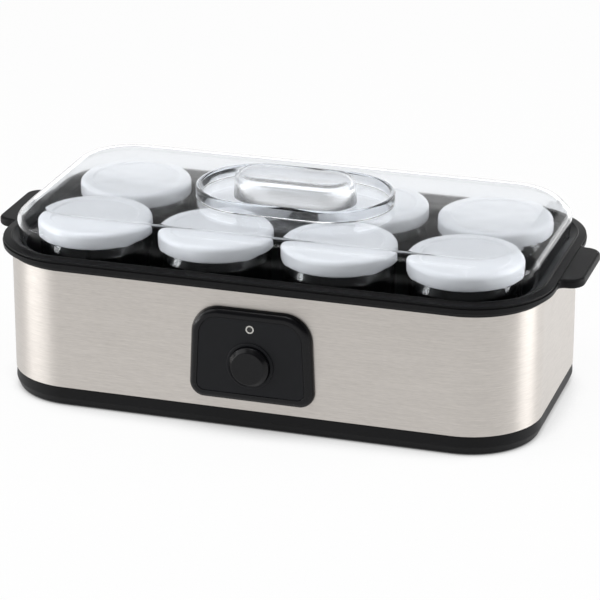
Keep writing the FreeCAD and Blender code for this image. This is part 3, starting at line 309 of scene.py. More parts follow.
def added(name: str, data: bpy.types.ID) -> bpy.types.Object:
    """Add an object with this data to the scene and return it."""
    made = bpy.data.objects.new(name, data)
    bpy.context.scene.collection.objects.link(made)
    return made


def settle(made: bpy.types.Object) -> None:
    """Replace an object's mesh by the result of its modifiers, and remove them."""
    graph = bpy.context.evaluated_depsgraph_get()
    mesh = bpy.data.meshes.new_from_object(made.evaluated_get(graph), depsgraph=graph)
    made.modifiers.clear()
    mesh.name = made.name
    made.data = mesh


def outward(mesh: bpy.types.Mesh) -> None:
    """Point all faces of a closed mesh outwards."""
    work = bmesh.new()
    work.from_mesh(mesh)
    bmesh.ops.recalc_face_normals(work, faces=work.faces[:])
    work.to_mesh(mesh)
    work.free()


class RingStack:
    """Geometry Nodes tree that lays closed rings over a list of sizes.

    Each row of its input holds half length, half width and height as a point, with the corner
    radius as an attribute, so one rule gives turned pieces, rounded boxes and all between.
    """

    def __init__(self) -> None:
        """Build the tree."""
        self.tree = bpy.data.node_groups.new("RingStack", "GeometryNodeTree")
        new_socket(self.tree, "Rows", "Geometry")
        self.steps = new_socket(self.tree, "Steps per Corner", "Int").identifier
        self.place = new_socket(self.tree, "Place", "Vector").identifier
        self.finish = new_socket(self.tree, "Finish", "Material").identifier
        new_socket(self.tree, "Piece", "Geometry", "OUTPUT")
        self._wire()

    def _wire(self) -> None:
        """Add the nodes that place each vertex of a grid on its ring."""
        w = Wiring(self.tree)
        given = w.add("NodeGroupInput").outputs
        domain = w.add("GeometryNodeAttributeDomainSize", {"Geometry": given["Rows"]})
        rows = domain.outputs["Point Count"]
        per_corner = w.math("ADD", given["Steps per Corner"], 1.0)
        columns = w.math("MULTIPLY", per_corner, 4.0)
        last_row = w.math("SUBTRACT", rows, 1.0)
        grid = w.add("GeometryNodeMeshGrid", {
            "Size X": columns,
            "Size Y": last_row,
            "Vertices X": w.math("ADD", columns, 1.0),
            "Vertices Y": rows,
        }).outputs["Mesh"]
        position = w.add("GeometryNodeInputPosition").outputs[0]
        spot = w.add("ShaderNodeSeparateXYZ", {0: position}).outputs
        column = w.math("ROUND", w.math("ADD", spot["X"], w.math("DIVIDE", columns, 2.0)))
        column = w.math("MODULO", column, columns)
        row = w.math("ROUND", w.math("ADD", spot["Y"], w.math("DIVIDE", last_row, 2.0)))
        quarter = w.math("FLOOR", w.math("DIVIDE", w.math("ADD", column, 0.5), per_corner))
        along = w.math("SUBTRACT", column, w.math("MULTIPLY", quarter, per_corner))
        share = w.math("ADD", quarter, w.math("DIVIDE", along, given["Steps per Corner"]))
        angle = w.math("MULTIPLY", share, math.pi / 2)
        diagonal = w.math("MULTIPLY", w.math("ADD", quarter, 0.5), math.pi / 2)

        def of_row(value: Socket, kind: str) -> Socket:
            """Return a value of the vertex's row."""
            values = {"Geometry": given["Rows"], "Value": value, "Index": row}
            node = w.add("GeometryNodeSampleIndex", values, data_type=kind, domain="POINT")
            return node.outputs["Value"]

        def across(half: Socket, wave: str) -> Socket:
            """Return a vertex's distance from the middle along one axis."""
            side = w.math("SIGN", w.math(wave, diagonal))
            centre = w.math("MULTIPLY", side, w.math("SUBTRACT", half, radius))
            return w.math("ADD", centre, w.math("MULTIPLY", radius, w.math(wave, angle)))

        named = w.add("GeometryNodeInputNamedAttribute", {"Name": "corner"}, data_type="FLOAT")
        radius = of_row(named.outputs["Attribute"], "FLOAT")
        size = w.add("ShaderNodeSeparateXYZ", {0: of_row(position, "FLOAT_VECTOR")}).outputs
        place = w.add("ShaderNodeCombineXYZ", {
            "X": across(size["X"], "COSINE"),
            "Y": across(size["Y"], "SINE"),
            "Z": size["Z"],
        }).outputs[0]
        shape = grid
        for kind, values in (
            ("SetPosition", {"Position": place}),
            ("MergeByDistance", {"Distance": MERGE}),
            ("SetShadeSmooth", {}),
            ("Transform", {"Translation": given["Place"]}),
            ("RealizeInstances", {}),
            ("SetMaterial", {"Material": given["Finish"]}),
        ):
            shape = w.add(f"GeometryNode{kind}", {"Geometry": shape, **values}).outputs[0]
        w.add("NodeGroupOutput", {"Piece": shape})

    def piece(self, name: str, rings: Sequence[Ring], finish: bpy.types.Material,
              place: Point = (0.0, 0.0, 0.0), steps: int = 20) -> bpy.types.Object:
        """Make a plain mesh object from rings.

        Args:
            name: Name of the piece.
            rings: Rings in order over the whole closed surface.
            finish: Material of the piece.
            place: Place of the middle, in metres.
            steps: Parts of each quarter of a ring.

        Returns:
            The finished object, at the origin.
        """
        rows = bpy.data.meshes.new(f"{name}_rows")
        sizes = [(r.outline.half_x * MM, r.outline.half_y * MM, r.level * MM) for r in rings]
        rows.from_pydata(sizes, [], [])
        corner = rows.attributes.new("corner", "FLOAT", "POINT")
        corner.data.foreach_set("value", [r.outline.corner * MM for r in rings])
        made = added(name, rows)
        modifier = made.modifiers.new("Rings", "NODES")
        modifier.node_group = self.tree
        modifier[self.steps] = steps
        modifier[self.place] = place
        modifier[self.finish] = finish
        settle(made)
        outward(made.data)
        return made


# Angles of a copied node's edges in radians: flat up to the first, rounded from the second
FLAT = math.radians(0.6)
CREASE = math.radians(24.0)


def softened_copy(node: str, finish: bpy.types.Material, edge: float) -> bpy.types.Object:
    """Make a smooth-shaded copy of a frame node with small rounds on its edges.

    Args:
        node: Node to copy.
        finish: Material of the piece.
        edge: Width of the rounds, in millimetres.

    Returns:
        The finished object, which stands for the node.
    """
    work = bmesh.new()
    work.from_mesh(frame["nodes"][node].data)
    bmesh.ops.remove_doubles(work, verts=work.verts[:], dist=MERGE)
    bmesh.ops.dissolve_limit(work, angle_limit=FLAT, verts=work.verts[:], edges=work.edges[:])
    for face in work.faces:
        face.smooth = True
    mesh = bpy.data.meshes.new(f"{node}_shell")
    work.to_mesh(mesh)
    work.free()
    mesh.materials.append(finish)
    made = added(mesh.name, mesh)
    bevel = made.modifiers.new("EdgeRounds", "BEVEL")
    bevel.width = edge * MM
    bevel.segments = 3
    bevel.limit_method = "ANGLE"
    bevel.angle_limit = CREASE
    bevel.miter_outer = "MITER_ARC"
    weighted = made.modifiers.new("FlatFaces", "WEIGHTED_NORMAL")
    weighted.keep_sharp = True
    settle(made)
    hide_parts(node)
    return made


def dress_node(node: str, finish: bpy.types.Material) -> None:
    """Give a frame node its finish and report it."""
    made = frame["nodes"][node]
    made.data.materials.clear()
    made.data.materials.append(finish)
    LOG.info("%s dressed in %s", node, finish.name)


# Patterns that several finishes share


class Patterns:
    """Shader node groups, built once each.

    Attributes:
        plastic_shades: Darker and lighter shade that plastic swings between.
        steel_shades: Darker and lighter shade that steel swings between.
        broad_lines: Fineness of the broad brush lines along each axis.
        narrow_lines: Fineness of the narrow brush lines along each axis.
    """

    plastic_shades: tuple[Shade, Shade] = ((0.62, 0.62, 0.64, 1.0), (1.35, 1.35, 1.38, 1.0))
    steel_shades: tuple[Shade, Shade] = ((0.72, 0.71, 0.70, 1.0), (1.2, 1.2, 1.2, 1.0))
    broad_lines: Point = (55.0, 55.0, 1500.0)
    narrow_lines: Point = (210.0, 210.0, 2600.0)

    def __init__(self) -> None:
        """Build the groups."""
        self.grain = self._grain()
        self.streaks = self._streaks()
        self.ripple = self._ripple()

    @staticmethod
    def _swung(w: Wiring, colour: Socket, amount: Socket, share: Socket,
               shades: tuple[Shade, Shade]) -> Socket:
        """Swing a colour between two shades of it.

        Args:
            w: Wiring of the group.
            colour: Colour that is swung.
            amount: How far it swings.
            share: Pattern, 0 where the colour is darkest and 1 where it is lightest.
            shades: Darker and lighter shade, which multiply the colour.

        Returns:
            The swung colour.
        """
        dark, light = [w.mix(1.0, colour, shade, "MULTIPLY") for shade in shades]
        return w.mix(amount, colour, w.mix(share, dark, light))

    def _grain(self) -> NodeTree:
        """Return the group for the fine grain and clouding of moulded plastic."""
        w = shader_group("MouldedGrain", {
            "Colour": (0.02, 0.02, 0.02, 1.0),
            "Clouding": 0.2,
            "Scale": 2600.0,
            "Roughness": 0.4,
            "Spread": 0.1,
        }, ("Colour", "Roughness", "Height"))
        given = w.add("NodeGroupInput").outputs
        place = w.place()
        fine = w.noise(place, given["Scale"], detail=2.0, rough=0.6)
        cloud = w.noise(place, scale=38.0, detail=3.0)
        share = w.remap(cloud, 0.3, 0.7, 0.0, 1.0)
        swing = w.math("SUBTRACT", w.math("ADD", fine, cloud), 1.0)
        swing = w.math("MULTIPLY", swing, given["Spread"])
        w.add("NodeGroupOutput", {
            "Colour": self._swung(w, given["Colour"], given["Clouding"], share,
                                  self.plastic_shades),
            "Roughness": w.math("ADD", given["Roughness"], swing),
            "Height": fine,
        })
        return w.tree

    def _streaks(self) -> NodeTree:
        """Return the group for the level brush lines of sheet steel."""
        w = shader_group("BrushLines", {
            "Colour": (0.55, 0.53, 0.51, 1.0),
            "Contrast": 0.2,
            "Roughness": 0.3,
            "Spread": 0.12,
        }, ("Colour", "Roughness", "Height"))
        given = w.add("NodeGroupInput").outputs
        place = w.place()
        broad = w.noise(w.stretched(place, self.broad_lines), scale=1.0, detail=3.0, rough=0.65)
        narrow = w.noise(w.stretched(place, self.narrow_lines), scale=1.0, detail=2.0, rough=0.6)
        lines = w.math("MULTIPLY", w.math("ADD", broad, narrow), 0.5)
        cloud = w.noise(place, scale=16.0, detail=2.0)
        share = w.remap(lines, 0.32, 0.68, 0.0, 1.0)
        swing = w.math("MULTIPLY", w.math("ADD", lines, cloud), 0.5)
        swing = w.math("MULTIPLY", w.math("SUBTRACT", swing, 0.5), given["Spread"])
        w.add("NodeGroupOutput", {
            "Colour": self._swung(w, given["Colour"], given["Contrast"], share,
                                  self.steel_shades),
            "Roughness": w.math("ADD", given["Roughness"], swing),
            "Height": lines,
        })
        return w.tree

    @staticmethod
    def _ripple() -> NodeTree:
        """Return the group for the slow waves and faint haze of clear mouldings."""
        w = shader_group("ClearRipple", {
            "Waves": 45.0,
            "Roughness": 0.01,
            "Haze": 0.03,
        }, ("Roughness", "Height"))
        given = w.add("NodeGroupInput").outputs
        place = w.place()
        marks = w.noise(place, scale=260.0, detail=4.0, rough=0.7)
        haze = w.math("MULTIPLY", w.remap(marks, 0.6, 0.8, 0.0, 1.0), given["Haze"])
        w.add("NodeGroupOutput", {
            "Roughness": w.math("ADD", given["Roughness"], haze),
            "Height": w.noise(place, given["Waves"], detail=1.0),
        })
        return w.tree


# Finishes


def new_material(name: str) -> tuple[bpy.types.Material, Wiring, bpy.types.Node, bpy.types.Node]:
    """Start a material.

    Args:
        name: Name of the material.

    Returns:
        The material, the wiring of its tree, its Principled shader and its output.
    """
    made = bpy.data.materials.new(name)
    w = emptied(made)
    shader = w.add("ShaderNodeBsdfPrincipled")
    out = w.add("ShaderNodeOutputMaterial", {"Surface": shader.outputs[0]})
    return made, w, shader, out


@dataclass(frozen=True)
class MouldedPlastic:
    """Opaque moulded plastic or rubber.

    Attributes:
        name: Name of the finish, which is its slot in the record.
        colour: Base colour.
        roughness: Middle roughness.
        spread: How far the roughness swings.
        clouding: How far the colour swings.
        scale: Fineness of the grain.
        depth: Depth of the grain, in millimetres.
        specular: Specular level.
    """

    name: str
    colour: Colour
    roughness: float
    spread: float = 0.12
    clouding: float = 0.25
    scale: float = 2600.0
    depth: float = 0.02
    specular: float = 0.5

    def material(self, patterns: Patterns) -> bpy.types.Material:
        """Return the finish as a material."""
        made, w, shader, _ = new_material(self.name)
        grain = w.add("ShaderNodeGroup", {
            "Colour": (*self.colour, 1.0),
            "Clouding": self.clouding,
            "Scale": self.scale,
            "Roughness": self.roughness,
            "Spread": self.spread,
        }, node_tree=patterns.grain).outputs
        w.set(shader, {
            "Base Color": grain["Colour"],
            "Roughness": grain["Roughness"],
            "Normal": w.bump(grain["Height"], strength=0.5, depth=self.depth),
            "Specular IOR Level": self.specular,
        })
        return made


@dataclass(frozen=True)
class SheetMetal:
    """Brushed or plain metal.

    Attributes:
        name: Name of the finish, which is its slot in the record.
        colour: Base colour.
        roughness: Middle roughness.
        contrast: How strongly the brush lines show in the colour.
        depth: Depth of the brush lines, in millimetres.
        anisotropy: How far highlights stretch across the brush lines.
    """

    name: str
    colour: Colour
    roughness: float
    contrast: float = 0.25
    depth: float = 0.01
    anisotropy: float = 0.0

    def material(self, patterns: Patterns) -> bpy.types.Material:
        """Return the finish as a material."""
        made, w, shader, _ = new_material(self.name)
        lines = w.add("ShaderNodeGroup", {
            "Colour": (*self.colour, 1.0),
            "Contrast": self.contrast,
            "Roughness": self.roughness,
        }, node_tree=patterns.streaks).outputs
        w.set(shader, {
            "Base Color": lines["Colour"],
            "Roughness": lines["Roughness"],
            "Normal": w.bump(lines["Height"], strength=0.2, depth=self.depth),
            "Metallic": 1.0,
        })
        if self.anisotropy:
            tangent = w.add("ShaderNodeTangent", direction_type="RADIAL", axis="Z")
            w.set(shader, {
                "Anisotropic": self.anisotropy,
                "Anisotropic Rotation": 0.25,
                "Tangent": tangent.outputs[0],
            })
        return made


@dataclass(frozen=True)
class ClearMoulding:
    """Clear glass or plastic that lets lamps shine through.

    Attributes:
        name: Name of the finish, which is its slot in the record.
        colour: Tint.
        ior: Index of refraction.
        waves: Fineness of its slow waves.
        depth: Depth of the waves, in millimetres.
        polish: Roughness of its clean surface.
        haze: Roughness that its faint marks add.
        frost: Roughness that the grip bar adds, if it is frosted.
        mirror: Share of its straight-on reflection that is kept.
        frost_side: Distances from the bar's sides over which the frost ends, in millimetres.
        frost_foot: Heights over the cover's top over which the frost begins.
    """

    name: str
    colour: Colour
    ior: float
    waves: float = 45.0
    depth: float = 0.15
    polish: float = 0.005
    haze: float = 0.03
    frost: float = 0.0
    mirror: float = 1.0
    frost_side: tuple[float, float] = (0.3, 1.1)
    frost_foot: tuple[float, float] = (-0.2, 1.0)

    def bar_mask(self, w: Wiring) -> Socket:
        """Return 1 on the grip bar and 0 on the rest of the cover."""
        axis = w.add("ShaderNodeSeparateXYZ", {0: w.place()}).outputs
        run = (BAR_OUTLINE.half_x - BAR_OUTLINE.corner) * MM
        past = w.math("SUBTRACT", w.math("ABSOLUTE", axis["X"]), run)
        past = w.math("MAXIMUM", past, 0.0)
        flat = w.add("ShaderNodeCombineXYZ", {"X": past, "Y": axis["Y"]}).outputs[0]
        away = w.add("ShaderNodeVectorMath", {0: flat}, operation="LENGTH").outputs["Value"]
        inner, outer = [(BAR_OUTLINE.corner + side) * MM for side in self.frost_side]
        lower, upper = [(COVER_TOP + foot) * MM for foot in self.frost_foot]
        near = w.remap(away, inner, outer, 1.0, 0.0)
        return w.math("MULTIPLY", near, w.remap(axis["Z"], lower, upper, 0.0, 1.0))

    def material(self, patterns: Patterns) -> bpy.types.Material:
        """Return the finish as a material."""
        made, w, shader, out = new_material(self.name)
        tint = (*self.colour, 1.0)
        ripple = w.add("ShaderNodeGroup", {
            "Waves": self.waves,
            "Roughness": self.polish,
            "Haze": self.haze,
        }, node_tree=patterns.ripple).outputs
        roughness = ripple["Roughness"]
        if self.frost:
            roughness = w.math("MULTIPLY_ADD", self.bar_mask(w), self.frost, roughness)
        w.set(shader, {
            "Base Color": tint,
            "Roughness": roughness,
            "Normal": w.bump(ripple["Height"], strength=0.3, depth=self.depth),
            "Transmission Weight": 1.0,
            "IOR": self.ior,
            "Specular Tint": (self.mirror, self.mirror, self.mirror, 1.0),
        })
        through = w.add("ShaderNodeBsdfTransparent", {"Color": tint})
        lamp_ray = w.add("ShaderNodeLightPath").outputs["Is Shadow Ray"]
        choice = w.add("ShaderNodeMixShader", {
            0: lamp_ray,
            1: shader.outputs[0],
            2: through.outputs[0],
        })
        w.set(out, {"Surface": choice.outputs[0]})
        return made


@dataclass
class Finishes:
    """Materials of the object by slot.

    Attributes:
        patterns: Shader groups that the finishes share.
        made: The materials.
    """

    patterns: Patterns = field(default_factory=Patterns)
    made: dict[str, bpy.types.Material] = field(default_factory=dict)

    def __post_init__(self) -> None:
        """Make every material."""
        kinds = [
            SheetMetal("brushed_steel", (0.62, 0.585, 0.55), 0.40, contrast=0.42,
                       anisotropy=0.75),
            MouldedPlastic("black_satin", (0.0075, 0.0076, 0.0082), 0.46, depth=0.03,
                           specular=0.14),
            MouldedPlastic("black_matte", (0.0070, 0.0075, 0.0092), 0.5, depth=0.04,
                           scale=3400.0, specular=0.19),
            MouldedPlastic("black_gloss", (0.0045, 0.0045, 0.0055), 0.22, spread=0.06,
                           depth=0.008, specular=0.22),
            MouldedPlastic("white_print", (0.62, 0.61, 0.57), 0.5),
            MouldedPlastic("smoked_lens", (0.006, 0.005, 0.005), 0.2),
            MouldedPlastic("white_lid", (0.76, 0.77, 0.785), 0.34, clouding=0.04, depth=0.01,
                           scale=900.0),
            MouldedPlastic("foot_rubber", (0.012, 0.012, 0.012), 0.7),
            MouldedPlastic("wire_sleeve", (0.6, 0.15, 0.1), 0.5),
            MouldedPlastic("lead_sleeve", (0.05, 0.08, 0.35), 0.5),
            MouldedPlastic("block_plastic", (0.7, 0.69, 0.62), 0.5),
            MouldedPlastic("lamp_glass", (0.8, 0.35, 0.2), 0.2),
            SheetMetal("heater_metal", (0.75, 0.75, 0.76), 0.35),
            SheetMetal("screw_metal", (0.6, 0.6, 0.62), 0.25),
            ClearMoulding("clear_plastic", (0.93, 0.942, 0.958), 1.32, polish=0.05, frost=0.2,
                          mirror=0.3),
            ClearMoulding("clear_glass", (0.965, 0.985, 0.98), 1.5, waves=70.0, depth=0.2),
        ]
        for kind in kinds:
            self.made[kind.name] = kind.material(self.patterns)

    def __getitem__(self, slot: str) -> bpy.types.Material:
        """Return the material of a slot."""
        return self.made[slot]


# Sub-assemblies, with sizes in millimetres


@dataclass
class Workshop:
    """What every sub-assembly needs to build its pieces.

    Attributes:
        finishes: Materials by slot.
        rings: Tree that makes pieces from rings.
    """

    finishes: Finishes
    rings: RingStack

    def hand_over(self, piece: bpy.types.Object, body: str) -> None:
        """Join a finished piece to its body and report it.

        Args:
            piece: The finished piece.
            body: Body that carries it.
        """
        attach(piece, body)
        LOG.info("%s on %s, %d faces", piece.name, body, len(piece.data.polygons))


@dataclass
class Cover:
    """Clear cover: skirt, sloping shoulder, flat top and a grip of oval wall and bar.

    Attributes:
        skirt_bottom: Level of the skirt's lower edge.
        skirt_inset: Distance of that edge inside the steel band's outline.
        shoulder_inset: Distance of the shoulder's lower edge inside it.
        shoulder_level: Level of that edge.
        shoulder_drop: How much lower the edge is on the inside.
        top_inset: Distance of the flat top's edge inside the outline.
        top_level: Level of the flat top.
        top_shift: How much further in the flat's edge is on the inside.
        top_flat: Widths of the flat beside its edge, inside and outside.
        wall: Thickness of the wall.
        lip_round: Rounds of the skirt's lower edge.
        shoulder_round: Round of the shoulder's lower edge.
        top_rounds: Rounds of the flat top's edge, inside and outside.
        hole_flat: Width of the flat round the hole under the bar.
        grip: Outline of the grip's oval wall.
        grip_level: Level of its top.
        grip_wall: Thickness of the oval wall.
        grip_round: Rounds of its upper edges.
        grip_foot: Rounds of its lower edges.
        bar: Outline of the bar's foot.
        bar_level: Level of the bar's top.
        bar_slope: Distance that the bar's sides lean in.
        bar_wall: Thickness of the bar's sides.
        bar_round: Round of its upper edge.
        bar_flat: Width of the flat beside that edge.
        hollow_level: Level of the top of the hollow in the bar.
        hollow_round: Round of the hollow's upper edge.
        hollow_flat: Width of the flat beside that edge.
        joint: Gap between the flat top and the grip's pieces.
        arc_steps: Parts of each arc in the sections that show most.
    """

    skirt_bottom: float = 90.1
    skirt_inset: float = 4.9
    shoulder_inset: float = 3.1
    shoulder_level: float = 105.0
    shoulder_drop: float = 0.8
    top_inset: float = 12.0
    top_level: float = COVER_TOP
    top_shift: float = 0.7
    top_flat: tuple[float, float] = (10.0, 12.0)
    wall: float = 1.8
    lip_round: float = 0.5
    shoulder_round: float = 5.0
    top_rounds: tuple[float, float] = (19.0, 12.0)
    hole_flat: float = 4.0
    grip: Outline = Outline(59.5, 37.5, 37.5)
    grip_level: float = 121.0
    grip_wall: float = 3.0
    grip_round: float = 1.2
    grip_foot: float = 0.3
    bar: Outline = BAR_OUTLINE
    bar_level: float = 129.0
    bar_slope: float = 1.05
    bar_wall: float = 3.5
    bar_round: float = 3.2
    bar_flat: float = 9.0
    hollow_level: float = 126.5
    hollow_round: float = 1.5
    hollow_flat: float = 8.0
    joint: float = 0.05
    arc_steps: int = 8

    def shell_rings(self) -> list[Ring]:
        """Return the rings from the hole under the bar, round the skirt and back to the hole."""
        top, under = self.top_level, self.top_level - self.wall
        hole = self.bar.grown(-self.bar_wall)
        edge = [Corner(0.0, top), Corner(0.0, under), Corner(self.hole_flat, under)]
        shell = [
            Corner(-self.top_inset - self.top_flat[0], under),
            Corner(-self.top_inset - self.top_shift, under, self.top_rounds[0]),
            Corner(-self.shoulder_inset - self.wall, self.shoulder_level - self.shoulder_drop,
                   self.shoulder_round),
            Corner(-self.skirt_inset - self.wall, self.skirt_bottom, self.lip_round),
            Corner(-self.skirt_inset, self.skirt_bottom, self.lip_round),
            Corner(-self.shoulder_inset, self.shoulder_level, self.shoulder_round),
            Corner(-self.top_inset, top, self.top_rounds[1]),
            Corner(-self.top_inset - self.top_flat[1], top),
        ]
        back = [Corner(self.hole_flat, top), Corner(0.0, top)]
        around = stacked(BAND_OUTLINE, shell, self.arc_steps)
        return stacked(hole, edge) + around + stacked(hole, back)

    def bar_rings(self) -> list[Ring]:
        """Return the rings of the hollow bar, from inside its top round its foot to its top."""
        foot = self.top_level + self.joint
        rows = [Ring(POLE, self.hollow_level)]
        rows += stacked(self.bar.grown(-self.bar_wall), [
            Corner(-self.hollow_flat, self.hollow_level),
            Corner(0.0, self.hollow_level, self.hollow_round),
            Corner(0.0, foot),
        ])
        rows += stacked(self.bar, [
            Corner(0.0, foot),
            Corner(-self.bar_slope, self.bar_level, self.bar_round),
            Corner(-self.bar_slope - self.bar_flat, self.bar_level),
        ], self.arc_steps)
        rows.append(Ring(POLE, self.bar_level))
        return rows

    def wall_rings(self) -> list[Ring]:
        """Return the rings round the grip's oval wall, from its foot and back to it."""
        foot = self.top_level + self.joint
        middle = -self.grip_wall / 2
        return stacked(self.grip, [
            Corner(middle, foot),
            Corner(0.0, foot, self.grip_foot),
            Corner(0.0, self.grip_level, self.grip_round),
            Corner(-self.grip_wall, self.grip_level, self.grip_round),
            Corner(-self.grip_wall, foot, self.grip_foot),
            Corner(middle, foot),
        ])

    def build(self, shop: Workshop) -> None:
        """Build the cover's shell, grip wall and bar and join them to its body."""
        nodes = set(frame["record"]["behaviour"]["bodies"][Body.COVER.value])
        parts = {
            "cover_grip_wall": ("cover_grip_oval", self.wall_rings()),
            "cover_grip_bar": ("cover_grip_hold", self.bar_rings()),
        }
        made = {tuple(sorted(nodes - set(parts))): ("cover_shell", self.shell_rings())}
        made.update({(node,): part for node, part in parts.items()})
        for stood_for, (name, rings) in made.items():
            piece = shop.rings.piece(name, rings, shop.finishes["clear_plastic"])
            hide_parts(*stood_for)
            shop.hand_over(piece, Body.COVER.value)


@dataclass
class JarSet:
    """Lidded glass jars in rows.

    Attributes:
        pitch: Distances between the jars' axes along the length and the width.
        count: Number of jars along the length and the width.
        foot: Level that the jars stand on.
        mouth: Level of their mouths.
        neck: Height of the neck.
        belly: Height over the foot at which the body is straight.
        radius: Outer radius of the body.
        bore: Inner radius of the body.
        throat: Outer and inner radius at the foot of the neck.
        rim: Outer and inner radius of the mouth.
        lid_top: Level of the lids' tops.
        lid_radius: Outer radius of a lid.
        lid_bore: Inner radius of a lid.
        lid_height: Height of a lid.
        lid_plate: Thickness of a lid's top.
        dish: Depth of the shallow dish in a lid's top.
    """

    pitch: tuple[float, float] = (74.8, 69.3)
    count: tuple[int, int] = (4, 2)
    foot: float = 26.6
    mouth: float = 101.9
    neck: float = 8.6
    belly: float = 26.0
    radius: float = 32.4
    bore: float = 30.0
    throat: tuple[float, float] = (30.2, 28.0)
    rim: tuple[float, float] = (31.2, 29.0)
    lid_top: float = 103.5
    lid_radius: float = 33.6
    lid_bore: float = 32.0
    lid_height: float = 9.4
    lid_plate: float = 1.5
    dish: float = 0.7

    def jar_section(self) -> list[Corner]:
        """Return a jar's half section, from under its middle round the mouth to its floor."""
        z = self.foot
        shoulder = self.mouth - self.neck
        return [
            Corner(0.0, z + 1.4),
            Corner(24.4, z + 1.4, 1.5),
            Corner(26.4, z, 1.0),
            Corner(27.9, z, 2.0),
            Corner(self.radius - 1.0, z + 4.0, 5.0),
            Corner(self.radius, z + self.belly, 40.0),
            Corner(self.radius, shoulder - 5.6, 6.0),
            Corner(self.throat[0], shoulder - 0.4, 1.0),
            Corner(self.rim[0], self.mouth, 0.9),
            Corner(self.rim[1], self.mouth, 0.9),
            Corner(self.throat[1], shoulder - 0.8, 1.5),
            Corner(self.bore, shoulder - 6.0, 5.0),
            Corner(self.bore, z + self.belly, 40.0),
            Corner(self.bore - 1.0, z + 8.0, 6.0),
            Corner(24.0, z + 4.2, 5.0),
            Corner(0.0, z + 3.8),
        ]

    def lid_section(self) -> list[Corner]:
        """Return a lid's half section, from its top round the skirt to its underside."""
        top = self.lid_top
        low = top - self.lid_height
        under = top - self.lid_plate
        return [
            Corner(0.0, top - self.dish),
            Corner(25.0, top - self.dish, 0.8),
            Corner(26.4, top, 0.8),
            Corner(self.lid_radius, top, 3.4),
            Corner(self.lid_radius, low, 0.5),
            Corner(self.lid_bore, low, 0.4),
            Corner(self.lid_bore, under, 0.6),
            Corner(0.0, under),
        ]

    def build(self, shop: Workshop) -> None:
        """Build every jar and lid and join each to its body."""
        columns, rows = self.count
        for row in range(rows):
            for column in range(columns):
                number = row * columns + column + 1
                x = (column - (columns - 1) / 2) * self.pitch[0] * MM
                y = (row - (rows - 1) / 2) * self.pitch[1] * MM
                self._build_one(shop, number, (x, y, 0.0))

    def _build_one(self, shop: Workshop, number: int, place: Point) -> None:
        """Build one jar and its lid.

        Args:
            shop: What the pieces are built with.
            number: Number of the jar in the frame.
            place: Place of its axis, in metres.
        """
        jar = shop.rings.piece(f"jar_{number}_glass", turned(self.jar_section()),
                               shop.finishes["clear_glass"], place)
        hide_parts(f"jar_{number}")
        shop.hand_over(jar, f"jar_{number}")
        lid = shop.rings.piece(f"jar_{number}_cap", turned(self.lid_section(), steps=6),
                               shop.finishes["white_lid"], place)
        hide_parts(f"jar_lid_{number}")
        shop.hand_over(lid, f"lid_{number}")


@dataclass
class Housing:
    """Steel band, base tray, tub and all that is fixed to them.

    Attributes:
        edges: Edge rounds of each node that shows.
    """

    edges: dict[str, float] = field(default_factory=lambda: {
        "steel_band": 0.25,
        "base_tray": 0.5,
        "tub": 0.4,
        "panel_bezel": 0.25,
        "panel_face": 0.2,
        "cord_gland": 0.3,
    })

    def build(self, shop: Workshop) -> None:
        """Build the pieces that show and dress the others."""
        slots = {row["node"]: row["material_slot"] for row in frame["record"]["subparts"]}
        for node, edge in self.edges.items():
            piece = softened_copy(node, shop.finishes[slots[node]], edge)
            shop.hand_over(piece, Body.HOUSING.value)
        for node in frame["record"]["behaviour"]["bodies"][Body.HOUSING.value]:
            if node not in self.edges:
                dress_node(node, shop.finishes[slots[node]])


@dataclass
class PushButton:
    """Push button of the control panel, with the width of its edge rounds."""

    edge: float = 0.3

    def build(self, shop: Workshop) -> None:
        """Build the button and join it to its body."""
        piece = softened_copy("power_button", shop.finishes["black_gloss"], self.edge)
        shop.hand_over(piece, Body.BUTTON.value)


# Studio, with sizes in metres


def facing(place: Point, aim: Point) -> Euler:
    """Return the turn with which a lamp or camera at a place faces a point."""
    return (Vector(aim) - Vector(place)).to_track_quat("-Z", "Y").to_euler()


@dataclass(frozen=True)
class Softbox:
    """Rectangular lamp.

    Attributes:
        name: Name of the lamp.
        place: Where it stands.
        aim: Point that it faces.
        size: Width and height.
        power: Power in watts.
    """

    name: str
    place: Point
    aim: Point
    size: tuple[float, float]
    power: float

    def build(self) -> None:
        """Add the lamp to the scene."""
        lamp = bpy.data.lights.new(self.name, "AREA")
        lamp.shape = "RECTANGLE"
        lamp.size, lamp.size_y = self.size
        lamp.energy = self.power
        made = added(self.name, lamp)
        made.location = self.place
        made.rotation_euler = facing(self.place, self.aim)
        made.visible_camera = False


